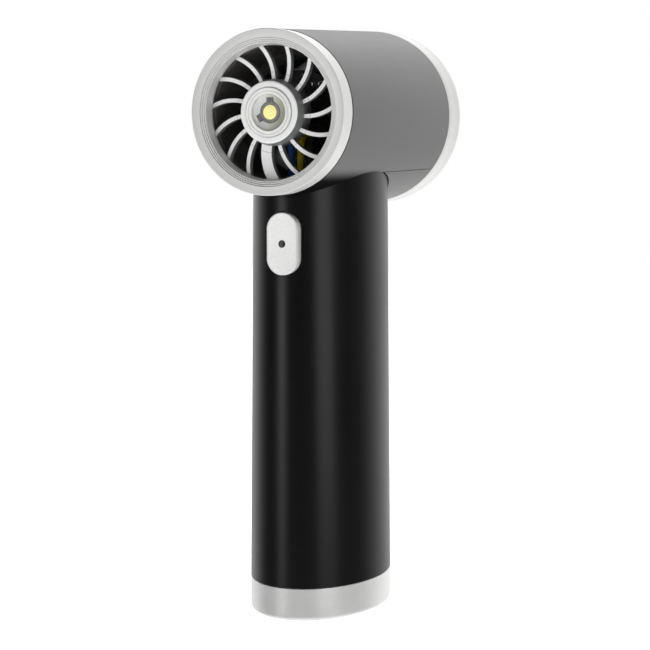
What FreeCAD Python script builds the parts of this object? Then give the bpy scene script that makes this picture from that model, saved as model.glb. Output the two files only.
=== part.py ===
"""Handheld turbo blower: a drum-shaped head with a motor fan and a lamp, on an oval battery handle.

Millimetres, +Z up. The origin is on the floor under the middle of the whole object's box.
The head's axis runs along Y: the outlet faces -Y and the intake +Y.
Turned pieces of the head are drawn about their own Z, counted from the outlet face inwards.
"""
import FreeCAD, Part

import math
import os
from types import SimpleNamespace

import Sketcher
from FreeCAD import Placement, Rotation, Vector

os.makedirs("parts", exist_ok=True)
doc = FreeCAD.newDocument("turbo_blower")

# ---------------------------------------------------------------- driving dimensions

SIZES = {
    "axis_height": (159.1, "floor to the head's axis"),
    "head_length": (97.0, "outlet face to intake face"),
    "gap": (0.2, "shadow gap between covers"),
    "fit": (0.1, "play of pieces that slot together"),
    "collar_radius": (25.2, "outside of the outlet ring"),
    "collar_length": (7.3, "outlet ring that shows"),
    "collar_chamfer": (0.35, "outer edge of the outlet ring"),
    "mouth_radius": (22.5, "inner edge of the outlet face"),
    "mouth_step": (0.55, "each fine step inside the outlet face, across"),
    "mouth_rise": (0.3, "each fine step inside the outlet face, deep"),
    "mouth_dish": (0.25, "how far the outlet face sinks to its inner edge"),
    "mouth_depth": (4.1, "outlet face to the end of its taper"),
    "bore_radius": (20.3, "clear bore of the outlet"),
    "spigot_radius": (23.7, "ring spigot inside the shell"),
    "spigot_end": (13.0, "end of the ring's spigot"),
    "spigot_bore": (22.2, "seat of the vane cage and the duct"),
    "seat_depth": (4.7, "seat of the vane cage's rim"),
    "shell_front_radius": (25.36, "grey shell at the outlet ring"),
    "shell_rear_radius": (29.14, "grey shell at the intake ring"),
    "shell_end": (85.0, "end of the grey shell"),
    "shell_wall": (1.6, "wall of the grey shell"),
    "seam_drop": (18.5, "seam of the lower panel under the axis, at the handle"),
    "seam_rise": (1.1, "how much the seam climbs towards the intake"),
    "panel_gap": (0.5, "shadow gap between lower panel and handle"),
    "rear_round": (4.5, "round of the intake ring's outer edge"),
    "rear_radius": (29.5, "largest radius of the intake ring"),
    "rear_bore": (22.6, "opening of the intake ring"),
    "rear_spigot": (27.2, "intake ring spigot inside the shell"),
    "rear_pocket": (26.0, "seat of the duct in the intake ring"),
    "rear_seat": (91.6, "end of that seat"),
    "hub_radius": (9.4, "lamp hub"),
    "hub_flare": (10.2, "lamp hub at the vanes"),
    "hub_front": (1.9, "lamp hub behind the outlet face"),
    "hub_back": (11.0, "back of the lamp hub"),
    "hub_bore": (7.5, "bore of the lamp hub"),
    "vane_front": (5.4, "vanes behind the outlet face"),
    "vane_depth": (2.2, "vanes along the axis"),
    "vane_thickness": (1.25, "a thin guide vane"),
    "key_vane_thickness": (3.5, "the one thick guide vane"),
    "vane_bend": (14.9, "radius that a vane curves to"),
    "vane_bend_x": (12.5, "centre of that curve, across"),
    "vane_bend_y": (12.4, "centre of that curve, below the axis"),
    "vane_count": (15, "guide vanes with the thick one"),
    "rim_radius": (20.9, "inside of the vane cage's rim"),
    "rim_depth": (1.9, "vane cage rim along the axis"),
    "lens_radius": (5.85, "lamp lens"),
    "lens_front": (1.9, "lamp lens behind the outlet face"),
    "lens_thickness": (0.4, "lamp lens"),
    "led_board_front": (3.5, "lamp board behind the outlet face"),
    "led_radius": (3.0, "lamp package"),
    "led_thickness": (0.6, "lamp package"),
    "bezel_lip": (0.4, "bezel's lip over the lens"),
    "bezel_groove": (0.25, "fine groove round the bezel"),
    "phosphor_radius": (2.2, "yellow disc of the lamp"),
    "duct_radius": (20.6, "inside of the duct"),
    "duct_outside": (22.1, "outside of the duct"),
    "duct_throat": (18.9, "duct inside after its step, beside the pod"),
    "duct_front": (7.8, "front edge of the duct"),
    "pod_radius": (13.6, "motor pod"),
    "pod_wall": (1.2, "motor pod"),
    "pod_front": (27.4, "front of the motor pod"),
    "pod_back": (56.0, "back of the motor pod"),
    "stator_blades": (9, "blades that hold the pod"),
    "board_thickness": (1.2, "driver board"),
    "can_radius": (12.3, "motor can"),
    "can_wall": (0.8, "motor can"),
    "can_front": (28.0, "motor can"),
    "can_back": (54.6, "motor can"),
    "core_front": (34.0, "laminated core"),
    "core_back": (48.0, "laminated core"),
    "tooth_radius": (6.6, "inner end of the core's teeth"),
    "tooth_width": (2.4, "a tooth of the core"),
    "tooth_count": (6, "teeth of the core"),
    "magnet_radius": (6.0, "rotor magnet"),
    "shaft_radius": (1.5, "motor shaft"),
    "shaft_play": (0.05, "shaft in its bearings"),
    "bearing_radius": (4.0, "outside of a bearing"),
    "bearing_width": (3.0, "a bearing"),
    "impeller_front": (56.8, "impeller"),
    "impeller_back": (72.0, "nose of the impeller's hub"),
    "blade_count": (13, "impeller blades"),
    "blade_reach": (19.3, "impeller blade tip, at mid chord"),
    "shaft_end": (77.0, "intake end of the shaft"),
    "grille_front": (93.4, "intake grille"),
    "grille_depth": (1.6, "intake grille"),
    "grille_bar": (0.9, "a bar of the grille"),
    "screen_depth": (0.5, "dust screen"),
    "handle_centre": (-5.7, "middle of the handle along Y"),
    "handle_length": (30.05, "half length of the handle's oval, along Y"),
    "handle_top_width": (19.75, "half width of the oval at the head"),
    "handle_base_width": (21.35, "half width of the oval at the cap"),
    "handle_wall": (1.8, "wall of the handle"),
    "handle_loft_top": (150.0, "height that the oval is drawn to"),
    "cap_height": (10.4, "base cap"),
    "cap_floor": (3.0, "floor of the base cap"),
    "cap_wall": (1.4, "wall of the base cap's spigot"),
    "cap_round": (1.4, "lower edge of the base cap"),
    "cap_spigot": (3.6, "cap spigot inside the handle"),
    "button_height": (118.8, "middle of the button"),
    "button_half_width": (5.25, "button"),
    "button_straight": (4.5, "straight sides of the button"),
    "button_face": (37.15, "button's face, ahead of the axis plane"),
    "button_back": (30.6, "back of the button's flange"),
    "button_clearance": (0.35, "gap round the button"),
    "flange_lip": (0.9, "button flange round the button"),
    "flange_thickness": (1.2, "button flange"),
    "window_radius": (1.15, "indicator window"),
    "window_depth": (2.0, "indicator window"),
    "cell_radius": (9.25, "a battery cell"),
    "cell_length": (65.0, "a battery cell"),
    "cell_pitch": (18.55, "between battery cells"),
    "cell_floor": (22.0, "bottom of the battery cells"),
    "frame_plate": (2.0, "plate of a battery frame"),
    "strip_thickness": (0.3, "nickel strip"),
    "control_front": (27.4, "control board's front, ahead of the axis plane"),
    "control_low": (100.0, "bottom of the control board"),
    "control_high": (133.0, "top of the control board"),
    "control_half_width": (10.5, "control board"),
    "port_height": (6.4, "middle of the charging socket"),
    "port_half_width": (4.47, "charging socket"),
    "port_half_height": (1.6, "charging socket"),
    "port_depth": (7.3, "charging socket"),
    "wire_radius": (1.2, "a motor wire"),
    "wire_drop": (22.0, "motor wires behind the outlet face"),
}

sheet = doc.addObject("Spreadsheet::Sheet", "Sizes")
for row, (alias, (number, meaning)) in enumerate(SIZES.items(), start=1):
    sheet.set(f"A{row}", meaning)
    sheet.set(f"B{row}", str(number))
    sheet.setAlias(f"B{row}", alias)
doc.recompute()


class Size:
    """A number together with the sheet expression that gives it."""

    def __init__(self, value, text):
        self.value = float(value)
        self.text = text

    def __add__(self, other):
        other = size(other)
        return Size(self.value + other.value, f"({self.text} + {other.text})")

    def __sub__(self, other):
        other = size(other)
        return Size(self.value - other.value, f"({self.text} - {other.text})")

    def __mul__(self, other):
        other = size(other)
        return Size(self.value * other.value, f"({self.text} * {other.text})")

    def __truediv__(self, other):
        other = size(other)
        return Size(self.value / other.value, f"({self.text} / {other.text})")

    def __neg__(self):
        return Size(-self.value, f"(-1 * {self.text})")

    __radd__ = __add__
    __rmul__ = __mul__

    def __rsub__(self, other):
        return size(other) - self


def size(number):
    """A plain number as a Size; a Size stays as it is."""
    if isinstance(number, Size):
        return number
    return Size(number, f"{number:.6f}")


S = SimpleNamespace(**{name: Size(row[0], f"Sizes.{name}") for name, row in SIZES.items()})

TERMINAL_ANGLES = (0, 243)  # lamp terminals, degrees clockwise from the top at the outlet
LEAD_OFFSET = 1.2  # lamp leads either side of the axis
WIRE_OFFSETS = (-1.3, 1.9, 5.1)  # the three motor wires, across
WIRE_START = 7.6  # where they leave the driver board, below the axis
SCREW_SPOTS = (-20.0, 16.0)  # base screws ahead of and behind the handle's middle
CHARGE_LEAD_RADIUS = 0.5
CHARGE_LEAD_X = 13.2  # charge leads pass the cells here
CHARGE_LEAD_Y = 4.0

PARTS = []

# ---------------------------------------------------------------- drawing helpers


def bind(owner, name, amount):
    """Sets a property now and ties it to the sheet."""
    amount = size(amount)
    if "." not in name:
        setattr(owner, name, amount.value)
    owner.setExpression(name, amount.text)


def place(piece, x=0, y=0, z=0, rotation=Rotation()):
    """Gives a piece its Placement, with each coordinate tied to the sheet."""
    spot = [size(x), size(y), size(z)]
    piece.Placement = Placement(Vector(*[s.value for s in spot]), rotation)
    for letter, s in zip("xyz", spot):
        piece.setExpression(f"Placement.Base.{letter}", s.text)


TO_HEAD = Rotation(Vector(1, 0, 0), -90)


def on_head(piece):
    """Puts a piece drawn about Z on the head's axis, its zero at the outlet face."""
    place(piece, 0, -S.head_length / 2, S.axis_height, TO_HEAD)


def new_body(label):
    body = doc.addObject("PartDesign::Body", label)
    body.Label = label
    body.AllowCompound = True
    PARTS.append(body)
    return body


def origin_feature(body, role):
    return next(f for f in body.Origin.OriginFeatures if f.Role == role)


def sketch_on(body, role, height=None):
    """A sketch on one of the body's own planes, or at a height above it."""
    sketch = body.newObject("Sketcher::SketchObject", "sketch")
    sketch.AttachmentSupport = [(origin_feature(body, role), "")]
    sketch.MapMode = "FlatFace"
    if height is not None:
        sketch.AttachmentOffset = Placement(Vector(0, 0, size(height).value), Rotation())
        sketch.setExpression("AttachmentOffset.Base.z", size(height).text)
    return sketch


def hold(sketch, kind, *where, amount):
    """Adds a constraint whose value follows the sheet."""
    amount = size(amount)
    index = sketch.addConstraint(Sketcher.Constraint(kind, *where, amount.value))
    sketch.setExpression(f"Constraints[{index}]", amount.text)


def pin(sketch, line, end, x, y):
    """Holds a point of the sketch at (x, y) from the sketch's origin."""
    hold(sketch, "DistanceX", -1, 1, line, end, amount=x)
    hold(sketch, "DistanceY", -1, 1, line, end, amount=y)


def polygon(sketch, corners):
    """A closed outline of straight lines through the corners."""
    points = [Vector(size(x).value, size(y).value, 0) for x, y in corners]
    first = sketch.GeometryCount
    last = first + len(points) - 1
    pairs = zip(points, points[1:] + points[:1])
    sketch.addGeometry([Part.LineSegment(a, b) for a, b in pairs], False)
    for line in range(first, last + 1):
        following = first if line == last else line + 1
        sketch.addConstraint(Sketcher.Constraint("Coincident", line, 2, following, 1))
    for line, (x, y) in enumerate(corners, start=first):
        pin(sketch, line, 1, x, y)


def rectangle(sketch, left, low, right, high):
    polygon(sketch, [(left, low), (right, low), (right, high), (left, high)])


def circle(sketch, radius, x=0, y=0):
    centre = Vector(size(x).value, size(y).value, 0)
    line = sketch.addGeometry(Part.Circle(centre, Vector(0, 0, 1), size(radius).value), False)
    hold(sketch, "Radius", line, amount=radius)
    pin(sketch, line, 3, x, y)


def oval(sketch, along_x, along_y, x=0, y=0):
    """An ellipse given by its two half lengths."""
    half_x, half_y = size(along_x).value, size(along_y).value
    centre = Vector(size(x).value, size(y).value, 0)
    tall = half_y > half_x
    major = centre + (Vector(0, half_y, 0) if tall else Vector(half_x, 0, 0))
    minor = centre + (Vector(half_x, 0, 0) if tall else Vector(0, half_y, 0))
    line = sketch.addGeometry(Part.Ellipse(major, minor, centre), False)
    sketch.exposeInternalGeometry(line)
    pin(sketch, line, 3, x, y)
    if tall:
        pin(sketch, line + 1, 1, x, size(y) + along_y)
        hold(sketch, "Distance", line + 2, 1, line + 2, 2, amount=size(along_x) * 2)
    else:
        pin(sketch, line + 1, 1, size(x) + along_x, y)
        hold(sketch, "Distance", line + 2, 1, line + 2, 2, amount=size(along_y) * 2)


def stadium(sketch, half_width, straight, x, y, upright=True):
    """Two half circles joined by straight sides."""
    radius, half = size(half_width).value, size(straight).value / 2
    spot = Vector(size(x).value, size(y).value, 0)
    shift = Vector(0, half, 0) if upright else Vector(half, 0, 0)
    turn = 0 if upright else -math.pi / 2
    side = Vector(radius, 0, 0) if upright else Vector(0, -radius, 0)
    up = Vector(0, 0, 1)
    first = sketch.GeometryCount
    sketch.addGeometry([
        Part.ArcOfCircle(Part.Circle(spot + shift, up, radius), turn, turn + math.pi),
        Part.LineSegment(spot + shift - side, spot - shift - side),
        Part.ArcOfCircle(Part.Circle(spot - shift, up, radius), turn + math.pi, turn + 2 * math.pi),
        Part.LineSegment(spot - shift + side, spot + shift + side),
    ], False)
    for line, following in ((0, 1), (1, 2), (2, 3), (3, 0)):
        sketch.addConstraint(Sketcher.Constraint("Tangent", first + line, 2, first + following, 1))
    hold(sketch, "Radius", first, amount=half_width)
    reach = size(straight) / 2
    if upright:
        pin(sketch, first, 3, x, size(y) + reach)
        pin(sketch, first + 2, 3, x, size(y) - reach)
    else:
        pin(sketch, first, 3, size(x) + reach, y)
        pin(sketch, first + 2, 3, size(x) - reach, y)


def pad(body, sketch, length, both_ways=False):
    feature = body.newObject("PartDesign::Pad", "pad")
    feature.Profile = sketch
    bind(feature, "Length", length)
    feature.Midplane = both_ways
    return feature


def pocket(body, sketch, length, both_ways=False):
    """Cuts away from the sketch against its plane's normal; stops the run if it cuts nothing."""
    doc.recompute()
    before = body.Shape.Volume
    feature = body.newObject("PartDesign::Pocket", "pocket")
    feature.Profile = sketch
    bind(feature, "Length", length)
    feature.Midplane = both_ways
    doc.recompute()
    if body.Shape.Volume >= before - 1e-6:
        raise RuntimeError(f"{body.Label}: a pocket cut nothing")
    return feature


def polar(body, feature, count):
    """Repeats a feature round the body's Z and makes the pattern the body's tip."""
    pattern = body.newObject("PartDesign::PolarPattern", "pattern")
    pattern.Originals = [feature]
    pattern.Axis = (origin_feature(body, "Z_Axis"), [""])
    pattern.Angle = 360
    pattern.setExpression("Occurrences", size(count).text)
    pattern.Occurrences = int(size(count).value)
    body.Tip = pattern
    return pattern


def revolve(body, outlines):
    """Turns outlines of (radius, depth) corners about the body's Z."""
    sketch = sketch_on(body, "XZ_Plane")
    for outline in outlines:
        polygon(sketch, outline)
    feature = body.newObject("PartDesign::Revolution", "turn")
    feature.Profile = sketch
    feature.ReferenceAxis = (sketch, ["V_Axis"])
    feature.Angle = 360
    return feature


def turned(label, *outlines):
    """A piece turned about the head's axis."""
    body = new_body(label)
    revolve(body, outlines)
    on_head(body)
    return body


def band(inner, outer, front, back):
    """The outline of a plain ring."""
    return [(inner, front), (outer, front), (outer, back), (inner, back)]


def circle_edges(body, radius, height):
    """Names of the body's round edges with that radius at that height."""
    doc.recompute()
    wanted_radius, wanted_height = size(radius).value, size(height).value
    names = []
    shape = body.Tip.Shape
    for number, edge in enumerate(shape.Edges, start=1):
        if not isinstance(edge.Curve, Part.Circle):
            continue
        same_radius = abs(edge.Curve.Radius - wanted_radius) < 0.01
        if same_radius and abs(edge.Curve.Center.z - wanted_height) < 0.01:
            names.append(f"Edge{number}")
    if not names:
        raise RuntimeError(f"{body.Label}: no round edge there")
    return names


def fillet(body, edges, radius):
    base = body.Tip
    feature = body.newObject("PartDesign::Fillet", "round")
    feature.Base = (base, edges)
    bind(feature, "Radius", radius)
    return feature


def chamfer(body, edges, width):
    base = body.Tip
    feature = body.newObject("PartDesign::Chamfer", "bevel")
    feature.Base = (base, edges)
    bind(feature, "Size", width)
    return feature


def block(name, low, high):
    """A Part box between two corners."""
    box = doc.addObject("Part::Box", name)
    for letter, a, b in zip(("Length", "Width", "Height"), low, high):
        bind(box, letter, size(b) - a)
    place(box, *low)
    return box


def rod(name, radius, length, x, y, z, rotation=Rotation()):
    """A Part cylinder that starts at a point and runs along +Z, or as turned."""
    cylinder = doc.addObject("Part::Cylinder", name)
    bind(cylinder, "Radius", radius)
    bind(cylinder, "Height", length)
    place(cylinder, x, y, z, rotation)
    return cylinder


def combine(kind, label, pieces, keep=True):
    """Joins pieces with Part::MultiFuse, Part::MultiCommon or Part::Compound."""
    result = doc.addObject(kind, label)
    if kind == "Part::Compound":
        result.Links = pieces
    else:
        result.Shapes = pieces
    if keep:
        result.Label = label
        PARTS.append(result)
    return result


def wire_solid(name, points, radius, bend):
    """A round wire along straight runs joined by tangent arcs."""
    corners = [Vector(*p) for p in points]
    edges = []
    start = corners[0]
    for before, corner, after in zip(corners, corners[1:], corners[2:]):
        into = (corner - before).normalize()
        out = (after - corner).normalize()
        turn = into.getAngle(out)
        reach = bend * math.tan(turn / 2)
        enter = corner - into * reach
        leave = corner + out * reach
        inward = (out - into).normalize()
        middle = corner + inward * (bend / math.cos(turn / 2) - bend)
        edges.append(Part.LineSegment(start, enter).toShape())
        edges.append(Part.Arc(enter, middle, leave).toShape())
        start = leave
    edges.append(Part.LineSegment(start, corners[-1]).toShape())
    path = Part.Wire(edges)
    heading = corners[1] - corners[0]
    ring = Part.Wire([Part.Circle(corners[0], heading, radius).toShape()])
    feature = doc.addObject("Part::Feature", name)
    feature.Shape = path.makePipeShell([ring], True, False)
    expected = math.pi * radius ** 2 * path.Length
    if abs(feature.Shape.Volume - expected) > 0.02 * expected:
        raise RuntimeError(f"{name}: the swept wire has the wrong volume")
    return feature


def named(piece, label):
    piece.Label = label
    PARTS.append(piece)
    return piece


# ---------------------------------------------------------------- outlet ring and guide vanes


def make_front_ring():
    """The outlet ring: dished face, three fine steps, a taper to the bore and a spigot behind."""
    step, rise, dish = S.mouth_step, S.mouth_rise, S.mouth_dish
    edge = S.collar_radius - S.collar_chamfer
    turned("front_ring", [
        (S.mouth_radius, dish),
        (edge, 0),
        (S.collar_radius, S.collar_chamfer),
        (S.collar_radius, S.collar_length),
        (S.spigot_radius, S.collar_length),
        (S.spigot_radius, S.spigot_end),
        (S.spigot_bore, S.spigot_end),
        (S.spigot_bore, S.seat_depth),
        (S.bore_radius, S.seat_depth),
        (S.bore_radius, S.mouth_depth),
        (S.mouth_radius - step * 3, dish + rise * 3),
        (S.mouth_radius - step * 2, dish + rise * 3),
        (S.mouth_radius - step * 2, dish + rise * 2),
        (S.mouth_radius - step, dish + rise * 2),
        (S.mouth_radius - step, dish + rise),
        (S.mouth_radius, dish + rise),
    ])


def meeting(centre, radius, reach):
    """Where a vane's circle meets a circle of radius reach about the axis."""
    distance = centre.Length
    along = (reach ** 2 - radius ** 2 + distance ** 2) / (2 * distance)
    across = math.sqrt(reach ** 2 - along ** 2)
    towards = Vector(centre).normalize()
    return towards * along + Vector(-towards.y, towards.x, 0) * across


def vane_outline(sketch, thickness, root, tip):
    """A curved vane: two arcs about one centre, ended on the circles root and tip."""
    up = Vector(0, 0, 1)
    centre = Vector(S.vane_bend_x.value, S.vane_bend_y.value, 0)
    ends = []
    for reach in (root, tip):
        guide = sketch.addGeometry(Part.Circle(Vector(0, 0, 0), up, reach.value), True)
        hold(sketch, "Radius", guide, amount=reach)
        pin(sketch, guide, 3, 0, 0)
        ends.append(guide)
    arcs = []
    for radius in (S.vane_bend + size(thickness) / 2, S.vane_bend - size(thickness) / 2):
        angles = []
        for reach in (tip, root):
            point = meeting(centre, radius.value, reach.value) - centre
            angles.append(math.atan2(point.y, point.x) % (2 * math.pi))
        arc = Part.ArcOfCircle(Part.Circle(centre, up, radius.value), *angles)
        line = sketch.addGeometry(arc, False)
        hold(sketch, "Radius", line, amount=radius)
        pin(sketch, line, 3, S.vane_bend_x, S.vane_bend_y)
        sketch.addConstraint(Sketcher.Constraint("PointOnObject", line, 1, ends[1]))
        sketch.addConstraint(Sketcher.Constraint("PointOnObject", line, 2, ends[0]))
        arcs.append((line, arc))
    for end, point in ((1, "StartPoint"), (2, "EndPoint")):
        (outer, outer_arc), (inner, inner_arc) = arcs
        closing = Part.LineSegment(getattr(outer_arc, point), getattr(inner_arc, point))
        line = sketch.addGeometry(closing, False)
        sketch.addConstraint(Sketcher.Constraint("Coincident", line, 1, outer, end))
        sketch.addConstraint(Sketcher.Constraint("Coincident", line, 2, inner, end))


def make_vane_cage():
    """Lamp hub, guide vanes and rim in one casting; one vane is thick and carries the leads."""
    body = new_body("outlet_vane_cage")
    lip, floor, overlap = 0.5, 1.2, 0.4
    hub = [
        (S.hub_bore, S.hub_front + lip),
        (S.hub_bore + lip / 2, S.hub_front),
        (S.hub_radius - lip, S.hub_front),
        (S.hub_radius, S.hub_front + lip),
        (S.hub_flare, S.vane_front),
        (S.hub_flare, S.hub_back),
        (S.phosphor_radius, S.hub_back),
        (S.phosphor_radius, S.hub_back - floor),
        (S.hub_bore, S.hub_back - floor),
    ]
    rim = band(S.rim_radius, S.spigot_bore - S.fit / 2, S.seat_depth, S.seat_depth + S.rim_depth)
    revolve(body, [hub, rim])
    root = S.hub_flare - overlap
    tip = S.rim_radius + overlap
    for thickness in (S.key_vane_thickness, S.vane_thickness):
        sketch = sketch_on(body, "XY_Plane", S.vane_front)
        vane_outline(sketch, thickness, root, tip)
        vane = pad(body, sketch, S.vane_depth)
    polar(body, vane, S.vane_count)
    on_head(body)


# ---------------------------------------------------------------- lamp


def make_lamp():
    """Bezel, lens, reflector, light source and its board, stacked in the hub's bore."""
    seat = S.lens_front
    lens_back = seat + S.lens_thickness
    foot = S.led_board_front
    out = S.hub_bore - S.fit / 2
    lip, groove = S.bezel_lip, S.bezel_groove
    groove_middle = S.lens_radius + 0.7
    turned("lamp_bezel", [
        (S.lens_radius - lip, seat),
        (S.lens_radius - lip / 3, seat - lip),
        (groove_middle - groove, seat - lip),
        (groove_middle - groove / 2, seat - lip + groove),
        (groove_middle + groove / 2, seat - lip + groove),
        (groove_middle + groove, seat - lip),
        (out - groove / 2, seat - lip),
        (out, seat - lip + groove / 2),
        (out, foot),
        (S.lens_radius + S.fit / 2, foot),
        (S.lens_radius + S.fit / 2, seat),
    ])
    turned("lamp_lens", band(0, S.lens_radius, seat, lens_back))
    opening = S.led_radius + 0.4
    cup_outline = [
        (S.lens_radius - lip, lens_back),
        (S.lens_radius, lens_back),
        (S.lens_radius, foot),
        (opening, foot),
        (opening, foot - 0.5),
        (opening + 0.9, foot - 0.75),
    ]
    cup = new_body("lamp_reflector")
    revolve(cup, [cup_outline])
    on_head(cup)
    notch = sketch_on(cup, "XY_Plane", foot)
    tab = 1.0
    for angle in TERMINAL_ANGLES:
        polygon(notch, [turned_corner(angle, r, w) for r, w in terminal_corners(tab, 0.2)])
    pocket(cup, notch, 1.2)

    package = foot - S.led_thickness
    turned("led_emitter", band(0, S.led_radius, package, foot))
    dome = [
        (0, package - 0.45),
        (S.phosphor_radius * 0.6, package - 0.4),
        (S.phosphor_radius, package - 0.15),
        (S.phosphor_radius, package),
        (0, package),
    ]
    turned("led_phosphor", dome)
    tabs = new_body("led_terminals")
    sketch = sketch_on(tabs, "XY_Plane", foot - 0.5)
    for angle in TERMINAL_ANGLES:
        polygon(sketch, [turned_corner(angle, r, w) for r, w in terminal_corners(tab, 0)])
    pad(tabs, sketch, 0.5)
    on_head(tabs)

    board = new_body("led_board")
    sketch = sketch_on(board, "XY_Plane", foot)
    circle(sketch, S.hub_bore - S.fit)
    for x in (-1, 1):
        circle(sketch, 0.6, x * LEAD_OFFSET, 0)
    pad(board, sketch, 1.0)
    on_head(board)


def terminal_corners(half_width, extra):
    """(radius, across) corners of a lamp terminal, grown by extra for its notch."""
    inner = S.led_radius + 0.05 - extra
    outer = S.led_radius + 0.05 + 1.3 + extra
    across = size(half_width) + extra
    return [(inner, -across), (outer, -across), (outer, across), (inner, across)]


def turned_corner(angle, radius, across):
    """A corner given by radius and sideways distance, at a clock angle, in the head's sketch."""
    sine, cosine = math.sin(math.radians(angle)), math.cos(math.radians(angle))
    return (radius * sine + across * cosine, radius * -cosine + across * sine)


# ---------------------------------------------------------------- duct, pod and driver board


def make_duct():
    """Duct with the motor pod held by stator blades; a slot lets the motor wires through."""
    body = new_body("fan_duct")
    tube = [
        (S.duct_radius, S.duct_front),
        (S.duct_outside, S.duct_front),
        (S.duct_outside, S.impeller_back + 14),
        (S.rear_pocket - S.fit, S.impeller_back + 16),
        (S.rear_pocket - S.fit, S.rear_seat - S.fit),
        (S.rear_bore, S.rear_seat - S.fit),
        (S.duct_radius, S.impeller_back + 2),
        (S.duct_radius, S.pod_back - 2),
        (S.duct_throat, S.pod_back - 8),
        (S.duct_throat, S.pod_front + 4),
        (S.duct_radius, S.pod_front),
    ]
    inside = S.pod_radius - S.pod_wall
    pod = band(inside, S.pod_radius, S.pod_front, S.pod_back)
    revolve(body, [tube, pod])
    sketch = sketch_on(body, "XY_Plane", S.pod_front + 6)
    half = 0.6
    rectangle(sketch, -half, -S.duct_throat - 0.5, half, -S.pod_radius + 0.4)
    blade = pad(body, sketch, 14)
    polar(body, blade, S.stator_blades)
    slot = sketch_on(body, "XY_Plane", S.wire_drop + S.wire_radius + 0.4)
    rectangle(slot, -4.2, S.duct_radius - 3, 7.6, S.duct_outside + 1)
    pocket(body, slot, S.wire_radius * 2 + 0.8)
    on_head(body)


def board_components(name, radius, count, width, height, rise, phase):
    """Equal chips in a ring on the driver board's front face."""
    chips = []
    for number in range(count):
        angle = math.radians(phase + 360 * number / count)
        across, up = radius * math.sin(angle), radius * math.cos(angle)
        beside_wires = up < -WIRE_START + 4 and -4 < across < 8
        if beside_wires:
            continue
        chip = doc.addObject("Part::Box", f"{name}_{number}")
        bind(chip, "Length", width)
        bind(chip, "Width", rise)
        bind(chip, "Height", height)
        x = across - width / 2
        z = S.axis_height + (up - height / 2)
        y = S.pod_front - S.board_thickness - rise - S.head_length / 2
        place(chip, x, y, z)
        chips.append(chip)
    return chips


def make_driver_board():
    """Round motor driver board on the pod's front, with its chips on the outlet side."""
    body = new_body("driver_board")
    sketch = sketch_on(body, "XY_Plane", S.pod_front - S.board_thickness)
    circle(sketch, S.pod_radius)
    for x in WIRE_OFFSETS:
        circle(sketch, S.wire_radius + 0.1, x, WIRE_START)
    pad(body, sketch, S.board_thickness)
    on_head(body)

    chips = board_components("switch", 10.6, 6, 2.6, 2.2, 0.9, 30)
    chips += board_components("capacitor", 7.2, 8, 1.1, 0.7, 0.6, 8)
    chips += board_components("resistor", 12.2, 12, 0.8, 0.5, 0.4, 5)
    half, rise = 2.4, 0.9
    face = S.pod_front - S.board_thickness - S.head_length / 2
    processor = block("processor", (-half, face - rise, S.axis_height - half),
                      (half, face, S.axis_height + half))
    combine("Part::Compound", "driver_components", chips + [processor])


# ---------------------------------------------------------------- motor and impeller


def make_motor():
    """Can, end bell, laminated core with six coils, two bearings, magnet and shaft."""
    can_inside = S.can_radius - S.can_wall
    seat = S.bearing_width
    rear_seat = S.can_back - seat
    turned("motor_can", [
        (can_inside, S.can_front),
        (S.can_radius, S.can_front),
        (S.can_radius, S.can_back),
        (S.bearing_radius, S.can_back),
        (S.bearing_radius, rear_seat),
        (S.bearing_radius + 1.5, rear_seat),
        (S.bearing_radius + 1.5, S.can_back - 1),
        (can_inside, S.can_back - 1),
    ])
    turned("motor_end_bell", band(S.bearing_radius, can_inside, S.can_front, S.can_front + 1.5),
           band(S.bearing_radius, S.bearing_radius + 1.5, S.can_front + 1.5, S.can_front + seat))
    bore = S.shaft_radius + S.shaft_play
    turned("motor_bearings",
           band(bore, S.bearing_radius, S.can_front, S.can_front + seat),
           band(bore, S.bearing_radius, rear_seat, S.can_back))

    core = new_body("stator_core")
    yoke = can_inside - 1.6
    revolve(core, [band(yoke, can_inside, S.core_front, S.core_back)])
    sketch = sketch_on(core, "XY_Plane", S.core_front)
    half = S.tooth_width / 2
    rectangle(sketch, -half, S.tooth_radius, half, yoke + 0.3)
    tooth = pad(core, sketch, S.core_back - S.core_front)
    polar(core, tooth, S.tooth_count)
    on_head(core)

    coils = new_body("stator_windings")
    overhang = 1.5
    sketch = sketch_on(coils, "XY_Plane", S.core_front - overhang)
    side = half + 0.9
    rectangle(sketch, -side, S.tooth_radius + 0.7, side, yoke - 0.3)
    coil = pad(coils, sketch, S.core_back - S.core_front + overhang * 2)
    pattern = polar(coils, coil, S.tooth_count)
    pattern.Refine = False
    on_head(coils)
    tooth_cut = sketch_on(coils, "XY_Plane", S.core_back)
    for number in range(int(S.tooth_count.value)):
        angle = 360 * number / S.tooth_count.value
        corners = [(S.tooth_radius, -half), (yoke, -half), (yoke, half), (S.tooth_radius, half)]
        polygon(tooth_cut, [turned_corner(angle, r, w) for r, w in corners])
    pocket(coils, tooth_cut, S.core_back - S.core_front)

    turned("motor_shaft", [
        (0, S.can_front - 0.3),
        (S.shaft_radius, S.can_front - 0.3),
        (S.shaft_radius, S.shaft_end),
        (0, S.shaft_end),
    ])
    turned("rotor_magnet", band(S.shaft_radius, S.magnet_radius, S.core_front, S.core_back))


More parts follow.
